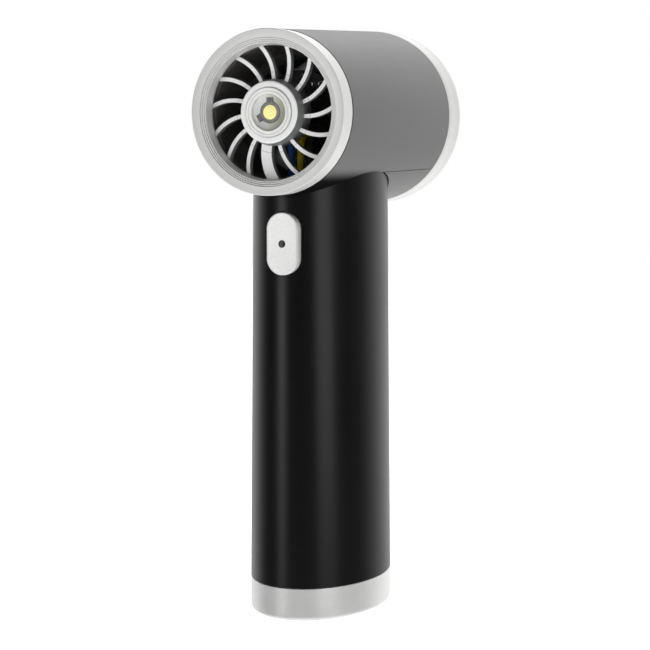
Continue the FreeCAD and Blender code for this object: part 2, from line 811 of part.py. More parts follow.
def make_impeller():
    """Thirteen twisted blades on a hub whose nose points at the intake, and its nut."""
    body = new_body("impeller")
    front, back = S.impeller_front, S.impeller_back
    revolve(body, [[
        (S.shaft_radius, front + 2),
        (S.pod_radius - 1.5, front + 2),
        (S.pod_radius - 1.5, front),
        (S.pod_radius, front),
        (S.pod_radius, front + 5),
        (S.pod_radius - 1.2, front + 8.5),
        (S.pod_radius - 4.4, front + 12.5),
        (S.bearing_radius + 0.4, back),
        (S.shaft_radius, back),
    ]])
    half = 0.5
    low, high = front + 0.8, front + 9.5
    sections = []
    for reach, lean_low, lean_high in ((S.pod_radius - 1.6, 2.2, -1.8), (S.blade_reach, 4.6, -3.6)):
        sketch = sketch_on(body, "XZ_Plane", -reach)
        middle = (low + high) / 2
        bow = (lean_low + lean_high) / 2 + (lean_low - lean_high) * 0.16
        polygon(sketch, [
            (lean_low - half, low),
            (lean_low + half, low),
            (bow + half * 1.6, middle),
            (lean_high + half, high),
            (lean_high - half, high),
            (bow - half, middle),
        ])
        sections.append(sketch)
    blade = body.newObject("PartDesign::AdditiveLoft", "blade")
    blade.Profile = sections[0]
    blade.Sections = [sections[1]]
    blade.Ruled = True
    polar(body, blade, S.blade_count)
    on_head(body)
    turned("impeller_nut", [
        (S.shaft_radius, back),
        (S.bearing_radius, back),
        (S.bearing_radius, back + 1.6),
        (S.bearing_radius - 1.4, S.shaft_end - 0.6),
        (S.shaft_radius, S.shaft_end - 0.2),
    ])


def make_motor_wires():
    """Three phase wires from the driver board down into the handle."""
    plane = -S.head_length.value / 2
    board = plane + S.pod_front.value - S.board_thickness.value
    drop = plane + S.wire_drop.value
    start = S.axis_height.value - WIRE_START
    neck = S.control_high.value
    for label, x in zip(("motor_wire_blue", "motor_wire_yellow", "motor_wire_black"), WIRE_OFFSETS):
        route = [
            (x, board + 0.9, start),
            (x, drop, start),
            (x, drop, neck),
        ]
        named(wire_solid(label, route, S.wire_radius.value, 2.4), label)


# ---------------------------------------------------------------- head covers


def shell_outline(grow=0):
    """The grey shell's section: a cone with an even wall."""
    front = S.collar_length + S.gap
    back = S.shell_end
    first = S.shell_front_radius
    last = S.shell_rear_radius
    wall = S.shell_wall
    return [(first - wall, front), (first, front), (last, back), (last - wall, back)]


def below_seam(lower, margin):
    """Side outline, as (below the axis, depth), of the space under the seam behind the handle."""
    start = S.handle_centre + S.head_length / 2 + margin
    drop = S.seam_drop + margin
    far = S.head_length
    return [
        (drop, start),
        (lower, start),
        (lower, far),
        (drop - S.seam_rise, far),
    ]


def handle_hole(body, margin):
    """Cuts the handle's oval, grown by margin, out of the lower half of a head piece."""
    sketch = sketch_on(body, "XZ_Plane")
    centre = S.handle_centre + S.head_length / 2
    oval(sketch, S.handle_top_width + margin, S.handle_length + margin, 0, centre)
    pocket(body, sketch, S.shell_rear_radius + 2)


def make_head_shell():
    """The grey drum: one cone, open below for the handle and for the lower panel."""
    body = turned("head_shell", shell_outline())
    reach = S.shell_rear_radius + 3
    seam = sketch_on(body, "YZ_Plane")
    polygon(seam, below_seam(reach, size(0)))
    pocket(body, seam, reach * 2, both_ways=True)
    handle_hole(body, S.gap)


def make_underside_panel():
    """The lower panel behind the handle, carrying on the drum's cone under the seam."""
    body = turned("underside_panel", shell_outline())
    reach = S.shell_rear_radius + 3
    start = S.handle_centre + S.head_length / 2 + S.gap
    drop = S.seam_drop + S.gap
    above = sketch_on(body, "YZ_Plane")
    polygon(above, [
        (-reach, 0),
        (reach, 0),
        (reach, start),
        (drop, start),
        (drop - S.seam_rise, S.head_length),
        (-reach, S.head_length),
    ])
    pocket(body, above, reach * 2, both_ways=True)
    handle_hole(body, S.panel_gap)


def make_rear_ring():
    """The intake ring: carries on the cone, rounds over and steps in to the grille."""
    body = turned("rear_ring", [
        (S.shell_rear_radius, S.shell_end + S.gap),
        (S.rear_radius, S.head_length - S.rear_round),
        (S.rear_radius, S.head_length),
        (S.rear_bore + 0.8, S.head_length),
        (S.rear_bore, S.head_length - 0.8),
        (S.rear_bore, S.rear_seat),
        (S.rear_pocket, S.rear_seat),
        (S.rear_pocket, S.shell_end - 5),
        (S.rear_spigot, S.shell_end - 5),
        (S.rear_spigot, S.shell_end + S.gap),
    ])
    fillet(body, circle_edges(body, S.rear_radius, S.head_length), S.rear_round - 0.02)


def make_intake():
    """The intake grille of rings and spokes, and the dust screen in front of the bell mouth."""
    body = new_body("intake_grille")
    back = S.grille_front + S.grille_depth
    outer = S.rear_bore - S.fit
    pitch = (outer - 1 - S.bearing_radius) / 5
    rings = [[(0, S.grille_front), (S.bearing_radius, S.grille_front), (S.bearing_radius, back), (0, back)]]
    for number in range(1, 5):
        middle = S.bearing_radius + pitch * number
        half = S.grille_bar / 2
        rings.append(band(middle - half, middle + half, S.grille_front, back))
    rings.append(band(outer - 1.2, outer, S.grille_front, back))
    revolve(body, rings)
    sketch = sketch_on(body, "XY_Plane", S.grille_front)
    rectangle(sketch, -S.grille_bar / 2, S.bearing_radius - 0.5, S.grille_bar / 2, outer - 0.5)
    spoke = pad(body, sketch, S.grille_depth)
    polar(body, spoke, 12)
    on_head(body)
    front = S.grille_front - S.gap - S.screen_depth
    turned("intake_mesh", band(0, S.rear_bore - S.fit, front, S.grille_front - S.gap))


def make_cushions():
    """Two rubber rings that centre the duct in the shell."""
    slope = (S.shell_rear_radius - S.shell_front_radius) / (S.shell_end - S.collar_length)
    rings = []
    for front in (15.0, 70.0):
        inside = S.shell_front_radius - S.shell_wall + slope * (front - S.collar_length.value)
        low, high = S.duct_outside, inside - S.fit
        rings.append([(low, front), (high, front), (high, front + 3.5), (low, front + 3.5)])
    cushions = turned("duct_cushions", *rings)
    handle_hole(cushions, 1.5)


# ---------------------------------------------------------------- handle


def oval_ring(body, height, inset, width):
    sketch = sketch_on(body, "XY_Plane", height)
    oval(sketch, width - inset, S.handle_length - inset, 0, S.handle_centre)
    return sketch


def handle_width(height):
    """Half width of the handle's oval at a height; it narrows a little towards the head."""
    height = size(height)
    share = (height - S.cap_height) / (S.handle_loft_top - S.cap_height)
    return S.handle_base_width + (S.handle_top_width - S.handle_base_width) * share


def loft(body, low, high, inset, kind):
    """Adds or cuts the handle's tapering oval, made smaller all round by inset."""
    feature = body.newObject(f"PartDesign::{kind}Loft", "loft")
    feature.Profile = oval_ring(body, low, inset, handle_width(low))
    feature.Sections = [oval_ring(body, high, inset, handle_width(high))]
    return feature


def saddle(body, depth):
    """Cuts the head's cone, made smaller by depth, out of a body drawn in the part's own frame."""
    sketch = sketch_on(body, "YZ_Plane")
    reach = S.head_length / 2 + 5
    slope = (S.shell_rear_radius - S.shell_front_radius) / (S.shell_end - S.collar_length)
    middle = S.head_length / 2 - S.collar_length
    front = S.shell_front_radius - depth + slope * (middle - reach)
    rear = S.shell_front_radius - depth + slope * (middle + reach)
    polygon(sketch, [
        (-reach, S.axis_height),
        (reach, S.axis_height),
        (reach, S.axis_height - rear),
        (-reach, S.axis_height - front),
    ])
    axis = sketch.addGeometry(
        Part.LineSegment(Vector(-reach.value, S.axis_height.value, 0),
                         Vector(reach.value, S.axis_height.value, 0)), True)
    pin(sketch, axis, 1, -reach, S.axis_height)
    pin(sketch, axis, 2, reach, S.axis_height)
    doc.recompute()
    before = body.Shape.Volume
    feature = body.newObject("PartDesign::Groove", "saddle")
    feature.Profile = sketch
    feature.ReferenceAxis = (sketch, ["Axis0"])
    feature.Angle = 360
    doc.recompute()
    if body.Shape.Volume >= before - 1:
        raise RuntimeError(f"{body.Label}: the saddle cut nothing")


def make_handle_shell():
    """The black oval tube, cut to the drum at the top, with the button's opening."""
    body = new_body("handle_shell")
    low = S.cap_height + S.gap
    loft(body, low, S.handle_loft_top, size(0), "Additive")
    loft(body, low, S.handle_loft_top, S.handle_wall, "Subtractive")
    saddle(body, size(0.8))
    sketch = sketch_on(body, "XZ_Plane", S.button_face)
    stadium(sketch, S.button_half_width + S.button_clearance, S.button_straight, 0, S.button_height)
    pocket(body, sketch, S.button_face - S.control_front)
    place(body)


def make_neck_collar():
    """The inner collar that ties the duct's underside to the handle's top, with its screws."""
    body = new_body("neck_collar")
    low = S.control_high + 1
    loft(body, low, S.handle_loft_top, S.handle_wall + S.fit, "Additive")
    loft(body, low, S.handle_loft_top, S.handle_wall + 1.6, "Subtractive")
    saddle(body, S.shell_wall + 0.8)
    place(body)
    inner_wall = S.handle_top_width - S.handle_wall - 1.6
    screws = []
    for side in (-1, 1):
        outwards = Rotation(Vector(0, 1, 0), 90 * side)
        x = (inner_wall - 1.1) * side
        head = rod("screw_head", 1.9, 1.2, x, S.handle_centre, low + 3, outwards)
        shank = rod("screw_shank", 0.9, 3.6, x, S.handle_centre, low + 3, outwards)
        screws.append(combine("Part::MultiFuse", "screw", [head, shank], keep=False))
    combine("Part::Compound", "neck_screws", screws)


def make_base_cap():
    """The silver base cap: a cup with a spigot, two screw holes and the charging slot."""
    body = new_body("base_cap")
    width = S.handle_base_width
    pad(body, oval_ring(body, 0, size(0), width), S.cap_height)
    inset = S.handle_wall + S.fit
    pad(body, oval_ring(body, S.cap_height, inset, width), S.cap_spigot)
    bowl = oval_ring(body, S.cap_height + S.cap_spigot, inset + S.cap_wall, width)
    pocket(body, bowl, S.cap_height + S.cap_spigot - S.cap_floor)
    doc.recompute()
    lowest = [f"Edge{n}" for n, e in enumerate(body.Tip.Shape.Edges, start=1)
              if e.BoundBox.ZMax < 0.01]
    fillet(body, lowest, S.cap_round)
    for radius, top in ((1.5, S.cap_floor), (2.7, 1.6)):
        holes = sketch_on(body, "XY_Plane", top)
        for y in SCREW_SPOTS:
            circle(holes, radius, 0, S.handle_centre + y)
        pocket(body, holes, top)
    slot = sketch_on(body, "XZ_Plane", -(S.handle_centre + S.handle_length - 8))
    straight = (S.port_half_width - S.port_half_height) * 2
    stadium(slot, S.port_half_height + 0.15, straight, 0, S.port_height, upright=False)
    pocket(body, slot, 9)
    place(body)


def make_base_screws():
    """Two screws up through the cap's floor into the lower battery frame."""
    body = new_body("base_screws")
    for radius, low, high in ((2.5, 0.5, 1.6), (1.2, 1.6, 12.0)):
        sketch = sketch_on(body, "XY_Plane", low)
        for y in SCREW_SPOTS:
            circle(sketch, radius, 0, S.handle_centre + y)
        pad(body, sketch, high - low)
    place(body)


def make_charge_board():
    """Charging board on the cap's floor with the socket at the rear wall."""
    board_top = S.port_height - S.port_half_height
    board_low = board_top - 1.2
    body = new_body("charge_board")
    sketch = sketch_on(body, "XY_Plane", board_low)
    rear = S.handle_centre + S.handle_length - 5.8
    rectangle(sketch, -6, rear - 20, 6, rear)
    circle(sketch, 3.4, 0, S.handle_centre + SCREW_SPOTS[1])
    pad(body, sketch, 1.2)
    place(body)

    socket = new_body("usb_c_socket")
    mouth = S.handle_centre + S.handle_length - 0.3
    sketch = sketch_on(socket, "XZ_Plane", -mouth)
    straight = (S.port_half_width - S.port_half_height) * 2
    stadium(sketch, S.port_half_height, straight, 0, S.port_height, upright=False)
    pad(socket, sketch, S.port_depth)
    hollow = sketch_on(socket, "XZ_Plane", -mouth)
    stadium(hollow, S.port_half_height - 0.3, straight, 0, S.port_height, upright=False)
    tongue_half = 0.35
    rectangle(hollow, -3.3, S.port_height - tongue_half, 3.3, S.port_height + tongue_half)
    pocket_towards_front(socket, hollow, S.port_depth - 1)
    place(socket)


def pocket_towards_front(body, sketch, length):
    """A pocket that cuts along the sketch's normal instead of against it."""
    doc.recompute()
    before = body.Shape.Volume
    feature = body.newObject("PartDesign::Pocket", "pocket")
    feature.Profile = sketch
    feature.Reversed = True
    bind(feature, "Length", length)
    doc.recompute()
    if body.Shape.Volume >= before - 1e-6:
        raise RuntimeError(f"{body.Label}: a pocket cut nothing")


def make_button():
    """The push button with its retaining flange and its indicator window."""
    body = new_body("power_button")
    back = S.button_back
    flange = sketch_on(body, "XZ_Plane", back)
    stadium(flange, S.button_half_width + S.flange_lip, S.button_straight, 0, S.button_height)
    pad(body, flange, S.flange_thickness)
    face = sketch_on(body, "XZ_Plane", back)
    stadium(face, S.button_half_width, S.button_straight, 0, S.button_height)
    pad(body, face, S.button_face - back)
    doc.recompute()
    rim = [f"Edge{n}" for n, e in enumerate(body.Tip.Shape.Edges, start=1)
           if e.BoundBox.YMax < -S.button_face.value + 0.01]
    chamfer(body, rim, 0.35)
    hole = sketch_on(body, "XZ_Plane", S.button_face)
    circle(hole, S.window_radius, 0, S.button_height)
    pocket(body, hole, S.window_depth)
    place(body)

    window = new_body("button_window")
    sketch = sketch_on(window, "XZ_Plane", S.button_face - S.window_depth)
    circle(sketch, S.window_radius, 0, S.button_height)
    pad(window, sketch, S.window_depth - 0.15)
    place(window)


def make_button_guide():
    """The frame behind the shell that guides the button, and the switch it presses."""
    body = new_body("button_guide")
    low = S.button_height - 13
    loft(body, low, S.button_height + 13, S.handle_wall + S.fit, "Additive")
    keep = sketch_on(body, "XZ_Plane", S.control_front)
    far = S.handle_length * 3
    rectangle(keep, -far, low - 1, far, S.button_height + 14)
    pocket(body, keep, far)
    hole = sketch_on(body, "XZ_Plane", S.handle_length * 2)
    lip = S.button_half_width + S.flange_lip + S.button_clearance
    stadium(hole, lip, S.button_straight, 0, S.button_height)
    pocket(body, hole, S.handle_length * 2 - S.control_front + 1)
    place(body)

    switch = new_body("tact_switch")
    base = sketch_on(switch, "XZ_Plane", S.control_front)
    rectangle(base, -3, S.button_height - 3, 3, S.button_height + 3)
    pad(switch, base, 1.4)
    plunger = sketch_on(switch, "XZ_Plane", S.control_front + 1.4)
    circle(plunger, 1.6, 0, S.button_height)
    pad(switch, plunger, 0.6)
    place(switch)


def make_control_board():
    """The upright control board behind the button and its components."""
    body = new_body("control_board")
    front = -S.control_front
    sketch = sketch_on(body, "XZ_Plane", S.control_front - 1.6)
    rectangle(sketch, -S.control_half_width, S.control_low, S.control_half_width, S.control_high)
    pad(body, sketch, 1.6)
    place(body)
    pieces = []
    back = front + 1.6
    for number, (x, z, wide, tall, rise) in enumerate((
        (-3.0, 112.0, 6.0, 6.0, 1.2),
        (-8.5, 104.0, 5.0, 5.0, 1.0),
        (3.5, 103.0, 5.0, 6.0, 2.6),
        (4.5, 121.0, 3.5, 3.0, 1.0),
        (-8.0, 122.0, 3.5, 3.0, 1.0),
    )):
        pieces.append(block(f"part_{number}", (x, back, z), (x + wide, back + rise, z + tall)))
    combine("Part::Compound", "control_components", pieces)


def cell_centres():
    return [S.handle_centre + S.cell_pitch * place_number for place_number in (-1, 0, 1)]


def make_battery():
    """Three cells in line between two frames, joined by nickel strips."""
    cells = new_body("battery_cells")
    sketch = sketch_on(cells, "XY_Plane", S.cell_floor)
    for y in cell_centres():
        circle(sketch, S.cell_radius - 0.02, 0, y)
    pad(cells, sketch, S.cell_length)
    place(cells)

    top = S.cell_floor + S.cell_length
    strip = S.strip_thickness
    strips = new_body("nickel_strips")
    for low in (S.cell_floor - strip, top):
        sketch = sketch_on(strips, "XY_Plane", low)
        first, _, last = cell_centres()
        rectangle(sketch, -3, first - 4, 3, last + 4)
        pad(strips, sketch, strip)
    place(strips)

    for label, low, cup in (
        ("battery_frame_lower", S.cell_floor - strip - S.frame_plate, size(1)),
        ("battery_frame_upper", top + strip, size(-1)),
    ):
        body = new_body(label)
        sketch = oval_ring(body, low, S.handle_wall + 0.4, handle_width(low))
        for side in (-1, 1):
            circle(sketch, CHARGE_LEAD_RADIUS + 0.1, side * CHARGE_LEAD_X, CHARGE_LEAD_Y)
        if cup.value < 0:
            circle(sketch, 2.5, 0, S.handle_centre + S.cell_pitch / 2)
            circle(sketch, 2.5, 0, S.handle_centre - S.cell_pitch / 2)
        pad(body, sketch, S.frame_plate)
        if cup.value > 0:
            posts = sketch_on(body, "XY_Plane", S.cap_floor)
            for y in SCREW_SPOTS:
                circle(posts, 3, 0, S.handle_centre + y)
            pad(body, posts, low - S.cap_floor)
            holes = sketch_on(body, "XY_Plane", size(12.5))
            for y in SCREW_SPOTS:
                circle(holes, 1.2, 0, S.handle_centre + y)
            pocket(body, holes, 12.5 - S.cap_floor)
        place(body)


def make_leads():
    """Battery leads to the control board, charge leads beside the cells, lamp leads in the vane."""
    cells_top = S.cell_floor.value + S.cell_length.value + S.strip_thickness.value
    y_mid = S.handle_centre.value
    board_back = -S.control_front.value + 1.6
    for label, side, rise in (("battery_lead_red", -1, 16), ("battery_lead_black", 1, 21)):
        y = y_mid + side * S.cell_pitch.value / 2
        route = [
            (0, y, cells_top),
            (0, y, cells_top + rise),
            (0, board_back, cells_top + rise),
        ]
        named(wire_solid(label, route, 0.9, 3), label)
    board_top = S.port_height.value - S.port_half_height.value
    charge = []
    for side in (-1, 1):
        x = side * CHARGE_LEAD_X
        turn_height = board_top + 8
        top = S.control_low.value + 6
        route = [
            (side * 5, 8.0, board_top),
            (side * 5, 8.0, turn_height),
            (x, CHARGE_LEAD_Y, turn_height),
            (x, CHARGE_LEAD_Y, top),
            (side * 9.0, board_back, top),
        ]
        charge.append(wire_solid(f"charge_{side}", route, CHARGE_LEAD_RADIUS, 1.5))
    combine("Part::Compound", "charge_leads", charge)
    lamp = []
    start = S.led_board_front + 1
    length = S.pod_front - S.board_thickness - 0.9 - start
    for side in (-1, 1):
        lead = rod("lamp_lead", 0.5, length, side * LEAD_OFFSET, start - S.head_length / 2,
                   S.axis_height, TO_HEAD)
        lamp.append(lead)
    combine("Part::Compound", "led_leads", lamp)


# ---------------------------------------------------------------- build, check and write

for make in (
    make_front_ring, make_vane_cage, make_lamp,
    make_duct, make_driver_board, make_motor, make_impeller, make_motor_wires,
    make_head_shell, make_underside_panel, make_rear_ring, make_intake, make_cushions,
    make_handle_shell, make_neck_collar, make_base_cap, make_base_screws, make_charge_board,
    make_button, make_button_guide, make_control_board, make_battery, make_leads,
):
    make()
doc.recompute()

for item in doc.Objects:
    if {"Invalid", "Error"} & set(item.State):
        raise RuntimeError(f"{item.Label} failed: {item.State}")
for piece in PARTS:
    if piece.Shape.isNull() or not piece.Shape.isValid():
        raise RuntimeError(f"{piece.Label} has no valid shape")

for piece in PARTS:
    piece.Shape.exportStep(f"parts/{piece.Label}.step")
print(len(PARTS), "sub-parts written")
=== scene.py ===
"""Looks of the handheld turbo blower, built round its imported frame.

Everything is in metres in the frame's own axes: the outlet looks along -Y, the handle stands on
the floor, and the head's axis runs along Y. MM turns the maker's millimetres into metres.
"""

import math

import bmesh
import bpy
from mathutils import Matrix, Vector


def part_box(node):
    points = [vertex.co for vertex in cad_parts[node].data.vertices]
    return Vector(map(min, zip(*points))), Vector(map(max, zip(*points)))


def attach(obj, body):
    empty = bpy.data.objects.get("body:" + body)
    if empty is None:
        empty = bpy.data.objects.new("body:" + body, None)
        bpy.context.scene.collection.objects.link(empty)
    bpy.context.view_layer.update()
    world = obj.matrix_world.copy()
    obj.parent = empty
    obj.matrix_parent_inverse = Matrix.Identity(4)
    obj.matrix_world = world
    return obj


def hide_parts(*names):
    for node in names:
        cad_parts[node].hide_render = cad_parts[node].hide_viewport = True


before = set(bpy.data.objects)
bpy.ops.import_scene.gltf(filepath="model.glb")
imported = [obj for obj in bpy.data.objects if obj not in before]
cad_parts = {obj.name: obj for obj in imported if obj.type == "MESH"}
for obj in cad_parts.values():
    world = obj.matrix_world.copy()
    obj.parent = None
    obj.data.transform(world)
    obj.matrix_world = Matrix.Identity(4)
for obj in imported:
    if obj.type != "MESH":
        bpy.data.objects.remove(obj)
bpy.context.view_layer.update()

MM = 0.001

# ---------------------------------------------------------------- sizes taken from the frame

ring_low, ring_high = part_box("front_ring")
_, rear_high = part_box("rear_ring")
tube_low, tube_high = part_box("handle_shell")
_, cap_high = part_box("base_cap")
knob_low, knob_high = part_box("power_button")
dot_low, dot_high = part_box("button_window")
guard_low, guard_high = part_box("intake_grille")
screen_low, screen_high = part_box("intake_mesh")
lens_low, lens_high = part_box("lamp_lens")
bezel_low, bezel_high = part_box("lamp_bezel")
fan_low, fan_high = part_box("impeller")
port_low, port_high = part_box("usb_c_socket")
screw_low, screw_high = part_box("base_screws")
board_low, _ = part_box("driver_board")

OUTLET = ring_low.y
INTAKE = rear_high.y
AXIS = (ring_low.z + ring_high.z) / 2
COLLAR = ring_high.x
REAR = rear_high.x
HANDLE_CENTRE = (tube_low.y + tube_high.y) / 2
HANDLE_LENGTH = (tube_high.y - tube_low.y) / 2
HANDLE_BASE_WIDTH = cap_high.x
HANDLE_TOP_WIDTH = 19.75 * MM
HANDLE_DRAWN_TO = 150 * MM
CAP_HEIGHT = 10.4 * MM
HANDLE_WALL = 1.8 * MM

COLLAR_LENGTH = 7.3 * MM
DRUM_START = 7.5 * MM
DRUM_END = 85 * MM
DRUM_FRONT = 25.36 * MM
DRUM_REAR = 29.14 * MM
DRUM_WALL = 1.6 * MM
SEAM_DROP = 18.5 * MM
SEAM_RISE = 1.1 * MM
SADDLE_DEPTH = 0.8 * MM
COVER_GAP = 0.2 * MM
PANEL_GAP = 0.5 * MM

HUB = 9.4 * MM
HUB_FLARE = 10.2 * MM
HUB_BORE = 7.5 * MM
HUB_FRONT = 1.9 * MM
HUB_BACK = 11 * MM
VANE_COUNT = 15
VANE_FRONT = 5.4 * MM
VANE_DEPTH = 2.2 * MM
VANE_BEND = 14.9 * MM
VANE_BEND_CENTRE = Vector((12.5 * MM, -12.4 * MM))
RIM = 20.9 * MM
POD = 13.6 * MM

TURNS = 256


# ---------------------------------------------------------------- mesh tools


def at_head(across, up, depth):
    """A point given from the head's axis and behind the outlet face."""
    return Vector((across, OUTLET + depth, AXIS + up))


def upright(x, y, height):
    """A point of an upright piece, as drawn."""
    return Vector((x, y, height))


def facing_front(x, height, depth):
    """A point of a piece that is drawn on a front view: depth runs along Y."""
    return Vector((x, depth, height))


def circle(radius, turns=TURNS, centre=(0, 0)):
    """A round outline as (point, outward direction) pairs."""
    outline = []
    for number in range(turns):
        turn = math.tau * number / turns
        out = (math.sin(turn), math.cos(turn))
        outline.append(((centre[0] + out[0] * radius, centre[1] + out[1] * radius), out))
    return outline


def handle_oval(half_width, grow=0.0, turns=TURNS):
    """The handle's oval, seen from above; its outward steps grow both half lengths alike."""
    outline = []
    for _, out in circle(1, turns):
        x = (half_width + grow) * out[0]
        y = HANDLE_CENTRE + (HANDLE_LENGTH + grow) * out[1]
        outline.append(((x, y), out))
    return outline


def stadium(half_width, straight, centre, turns=64):
    """Two half circles joined by upright sides, on a front view."""
    outline = []
    for number in range(turns * 2):
        turn = math.pi * (number + 0.5) / turns
        out = (math.sin(turn), math.cos(turn))
        shift = straight if out[1] > 0 else -straight
        x = centre[0] + half_width * out[0]
        height = centre[1] + shift + half_width * out[1]
        outline.append(((x, height), out))
    return outline


def rounded(corners, radius, steps=4, closed=True):
    """The profile with every corner rounded; a third number on a corner is its own radius."""
    nearly_straight, most_of_side, arc_step = math.radians(87), 0.48, 0.45 * MM
    points = [Vector(corner[:2]) for corner in corners]
    result = []
    for number, corner in enumerate(points):
        if not closed and number in (0, len(points) - 1):
            result.append(corner)
            continue
        own = corners[number][2] if len(corners[number]) > 2 else radius
        before = points[number - 1] - corner
        after = points[(number + 1) % len(points)] - corner
        half = before.angle(after) / 2
        if own == 0 or half > nearly_straight:
            result.append(corner)
            continue
        side = min(before.length, after.length)
        reach = min(own / math.tan(half), side * most_of_side)
        own = reach * math.tan(half)
        before, after = before.normalized(), after.normalized()
        middle = corner + (before + after).normalized() * own / math.sin(half)
        start = corner + before * reach - middle
        end = corner + after * reach - middle
        count = max(steps, round(own / arc_step))
        result += [middle + start.slerp(end, step / count) * own for step in range(count + 1)]
    return result


def divided(profile, longest, closed=True):
    """The profile with its long straight stretches split evenly."""
    result = []
    last = len(profile) if closed else len(profile) - 1
    for number in range(last):
        start, end = Vector(profile[number]), Vector(profile[(number + 1) % len(profile)])
        count = max(1, math.ceil((end - start).length / longest))
        result += [start.lerp(end, step / count) for step in range(count)]
    if not closed:
        result.append(Vector(profile[-1]))
    return result


def as_data(mesh, name):
    """Plain mesh data from an edit mesh, which is freed."""
    data = bpy.data.meshes.new(name)
    mesh.to_mesh(data)
    mesh.free()
    return data


def carried(outline, profile, place, closed=True):
    """A mesh made by carrying a profile of (outwards, along) points round an outline.

    A closed profile makes a ring; an open one is closed by a flat face at each end.
    """
    mesh = bmesh.new()
    rings = []
    for out, along in profile:
        ring = []
        for (x, y), (side, ahead) in outline:
            ring.append(mesh.verts.new(place(x + side * out, y + ahead * out, along)))
        rings.append(ring)
    pairs = list(zip(rings, rings[1:]))
    if closed:
        pairs.append((rings[-1], rings[0]))
    else:
        mesh.faces.new(rings[0])
        mesh.faces.new(rings[-1])
    for lower, upper in pairs:
        for number in range(len(outline)):
            after = (number + 1) % len(outline)
            mesh.faces.new((lower[number], lower[after], upper[after], upper[number]))
    bmesh.ops.remove_doubles(mesh, verts=mesh.verts, dist=1e-7)
    bmesh.ops.recalc_face_normals(mesh, faces=mesh.faces)
    return as_data(mesh, "carried")


def prism(outline, low, high, place):
    """A solid with straight sides and flat ends."""
    return carried(outline, [(0, low), (0, high)], place, closed=False)


def turned(corners, radius=0.12 * MM, turns=TURNS, closed=True):
    """A piece turned about the head's axis from (radius, depth) corners, its edges rounded."""
    return carried(circle(0, turns), rounded(corners, radius, closed=closed), at_head, closed)


def box_mesh(low, high):
    """A closed box between two corners."""
    mesh = bmesh.new()
    bmesh.ops.create_cube(mesh, size=1)
    middle, span = (Vector(low) + Vector(high)) / 2, Vector(high) - Vector(low)
    for vertex in mesh.verts:
        vertex.co = Vector(c * s for c, s in zip(vertex.co, span)) + middle
    return as_data(mesh, "box")


def placed(name, data):
    """A new object in the scene."""
    item = bpy.data.objects.new(name, data)
    bpy.context.scene.collection.objects.link(item)
    return item


def temporary(mesh):
    """An object that only lends its mesh to a cut or a node tree."""
    return placed("temporary", mesh)


def settled(item):
    """The evaluated mesh of an object, as plain data; the object itself is thrown away."""
    bpy.context.view_layer.update()
    evaluated = item.evaluated_get(bpy.context.evaluated_depsgraph_get())
    data = bpy.data.meshes.new_from_object(evaluated)
    bpy.data.objects.remove(item)
    return data


def shaped(mesh, cutters=(), keeps=(), bevel=0.0, crease=40):
    """Cuts meshes away, keeps only what lies in others, and rounds the sharp edges."""
    item = temporary(mesh)
    helpers = []
    for operation, tools in (("DIFFERENCE", cutters), ("INTERSECT", keeps)):
        for tool in tools:
            helper = temporary(tool)
            cut = item.modifiers.new(operation.lower(), "BOOLEAN")
            cut.operation, cut.object, cut.solver = operation, helper, "EXACT"
            helpers.append(helper)
    if bevel:
        edge = item.modifiers.new("edge", "BEVEL")
        edge.width, edge.segments, edge.limit_method = bevel, 3, "ANGLE"
        edge.angle_limit = math.radians(crease)
    data = settled(item)
    for helper in helpers:
        bpy.data.objects.remove(helper)
    return data


def piece(name, mesh, finish, node, body="housing", crease=38):
    """Turns a mesh into a finished piece that rides on a body and stands for a CAD node."""
    mesh.name = name
    mesh.shade_smooth()
    mesh.set_sharp_from_angle(angle=math.radians(crease))
    if finish:
        mesh.materials.clear()
        mesh.materials.append(finish)
    elif mesh.materials and mesh.materials[0] is None:
        mesh.materials.pop(index=0)
    item = temporary(mesh)
    even = item.modifiers.new("even", "WEIGHTED_NORMAL")
    even.keep_sharp = True
    item = placed(name, settled(item))
    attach(item, body)
    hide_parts(node)
    return item


# ---------------------------------------------------------------- node tools


def plug(group, value, socket):
    """Links a field or a socket to an input, or sets the input to a plain value."""
    if isinstance(value, Field):
        group.links.new(value.socket, socket)
    elif isinstance(value, bpy.types.NodeSocket):
        group.links.new(value, socket)
    else:
        socket.default_value = value


def calc(group, operation, *values):
    """A Math node."""
    node = group.nodes.new("ShaderNodeMath")
    node.operation = operation
    for place, value in enumerate(values):
        plug(group, value, node.inputs[place])
    return Field(group, node.outputs[0])


def split(group, vector):
    """The three coordinates of a vector."""
    node = group.nodes.new("ShaderNodeSeparateXYZ")
    group.links.new(vector, node.inputs[0])
    return [Field(group, output) for output in node.outputs]


def ranged(group, field, low=0.3, high=0.7, to_low=0.0, to_high=1.0, smooth=False):
    """The field's range low to high, spread over another range and held there.

    Soft noise hardly leaves 0.3 to 0.7, so that is the range where none is given.
    """
    node = group.nodes.new("ShaderNodeMapRange")
    node.interpolation_type = "SMOOTHSTEP" if smooth else "LINEAR"
    for key, value in zip(("From Min", "From Max", "To Min", "To Max"), (low, high, to_low, to_high)):
        node.inputs[key].default_value = value
    plug(group, field, node.inputs["Value"])
    return Field(group, node.outputs[0])


def operator(kind, swapped=False):
    """A method of the class below that adds one Math node."""

    def method(self, *others):
        values = (*others, self) if swapped else (self, *others)
        return calc(self.group, kind, *values)

    return method


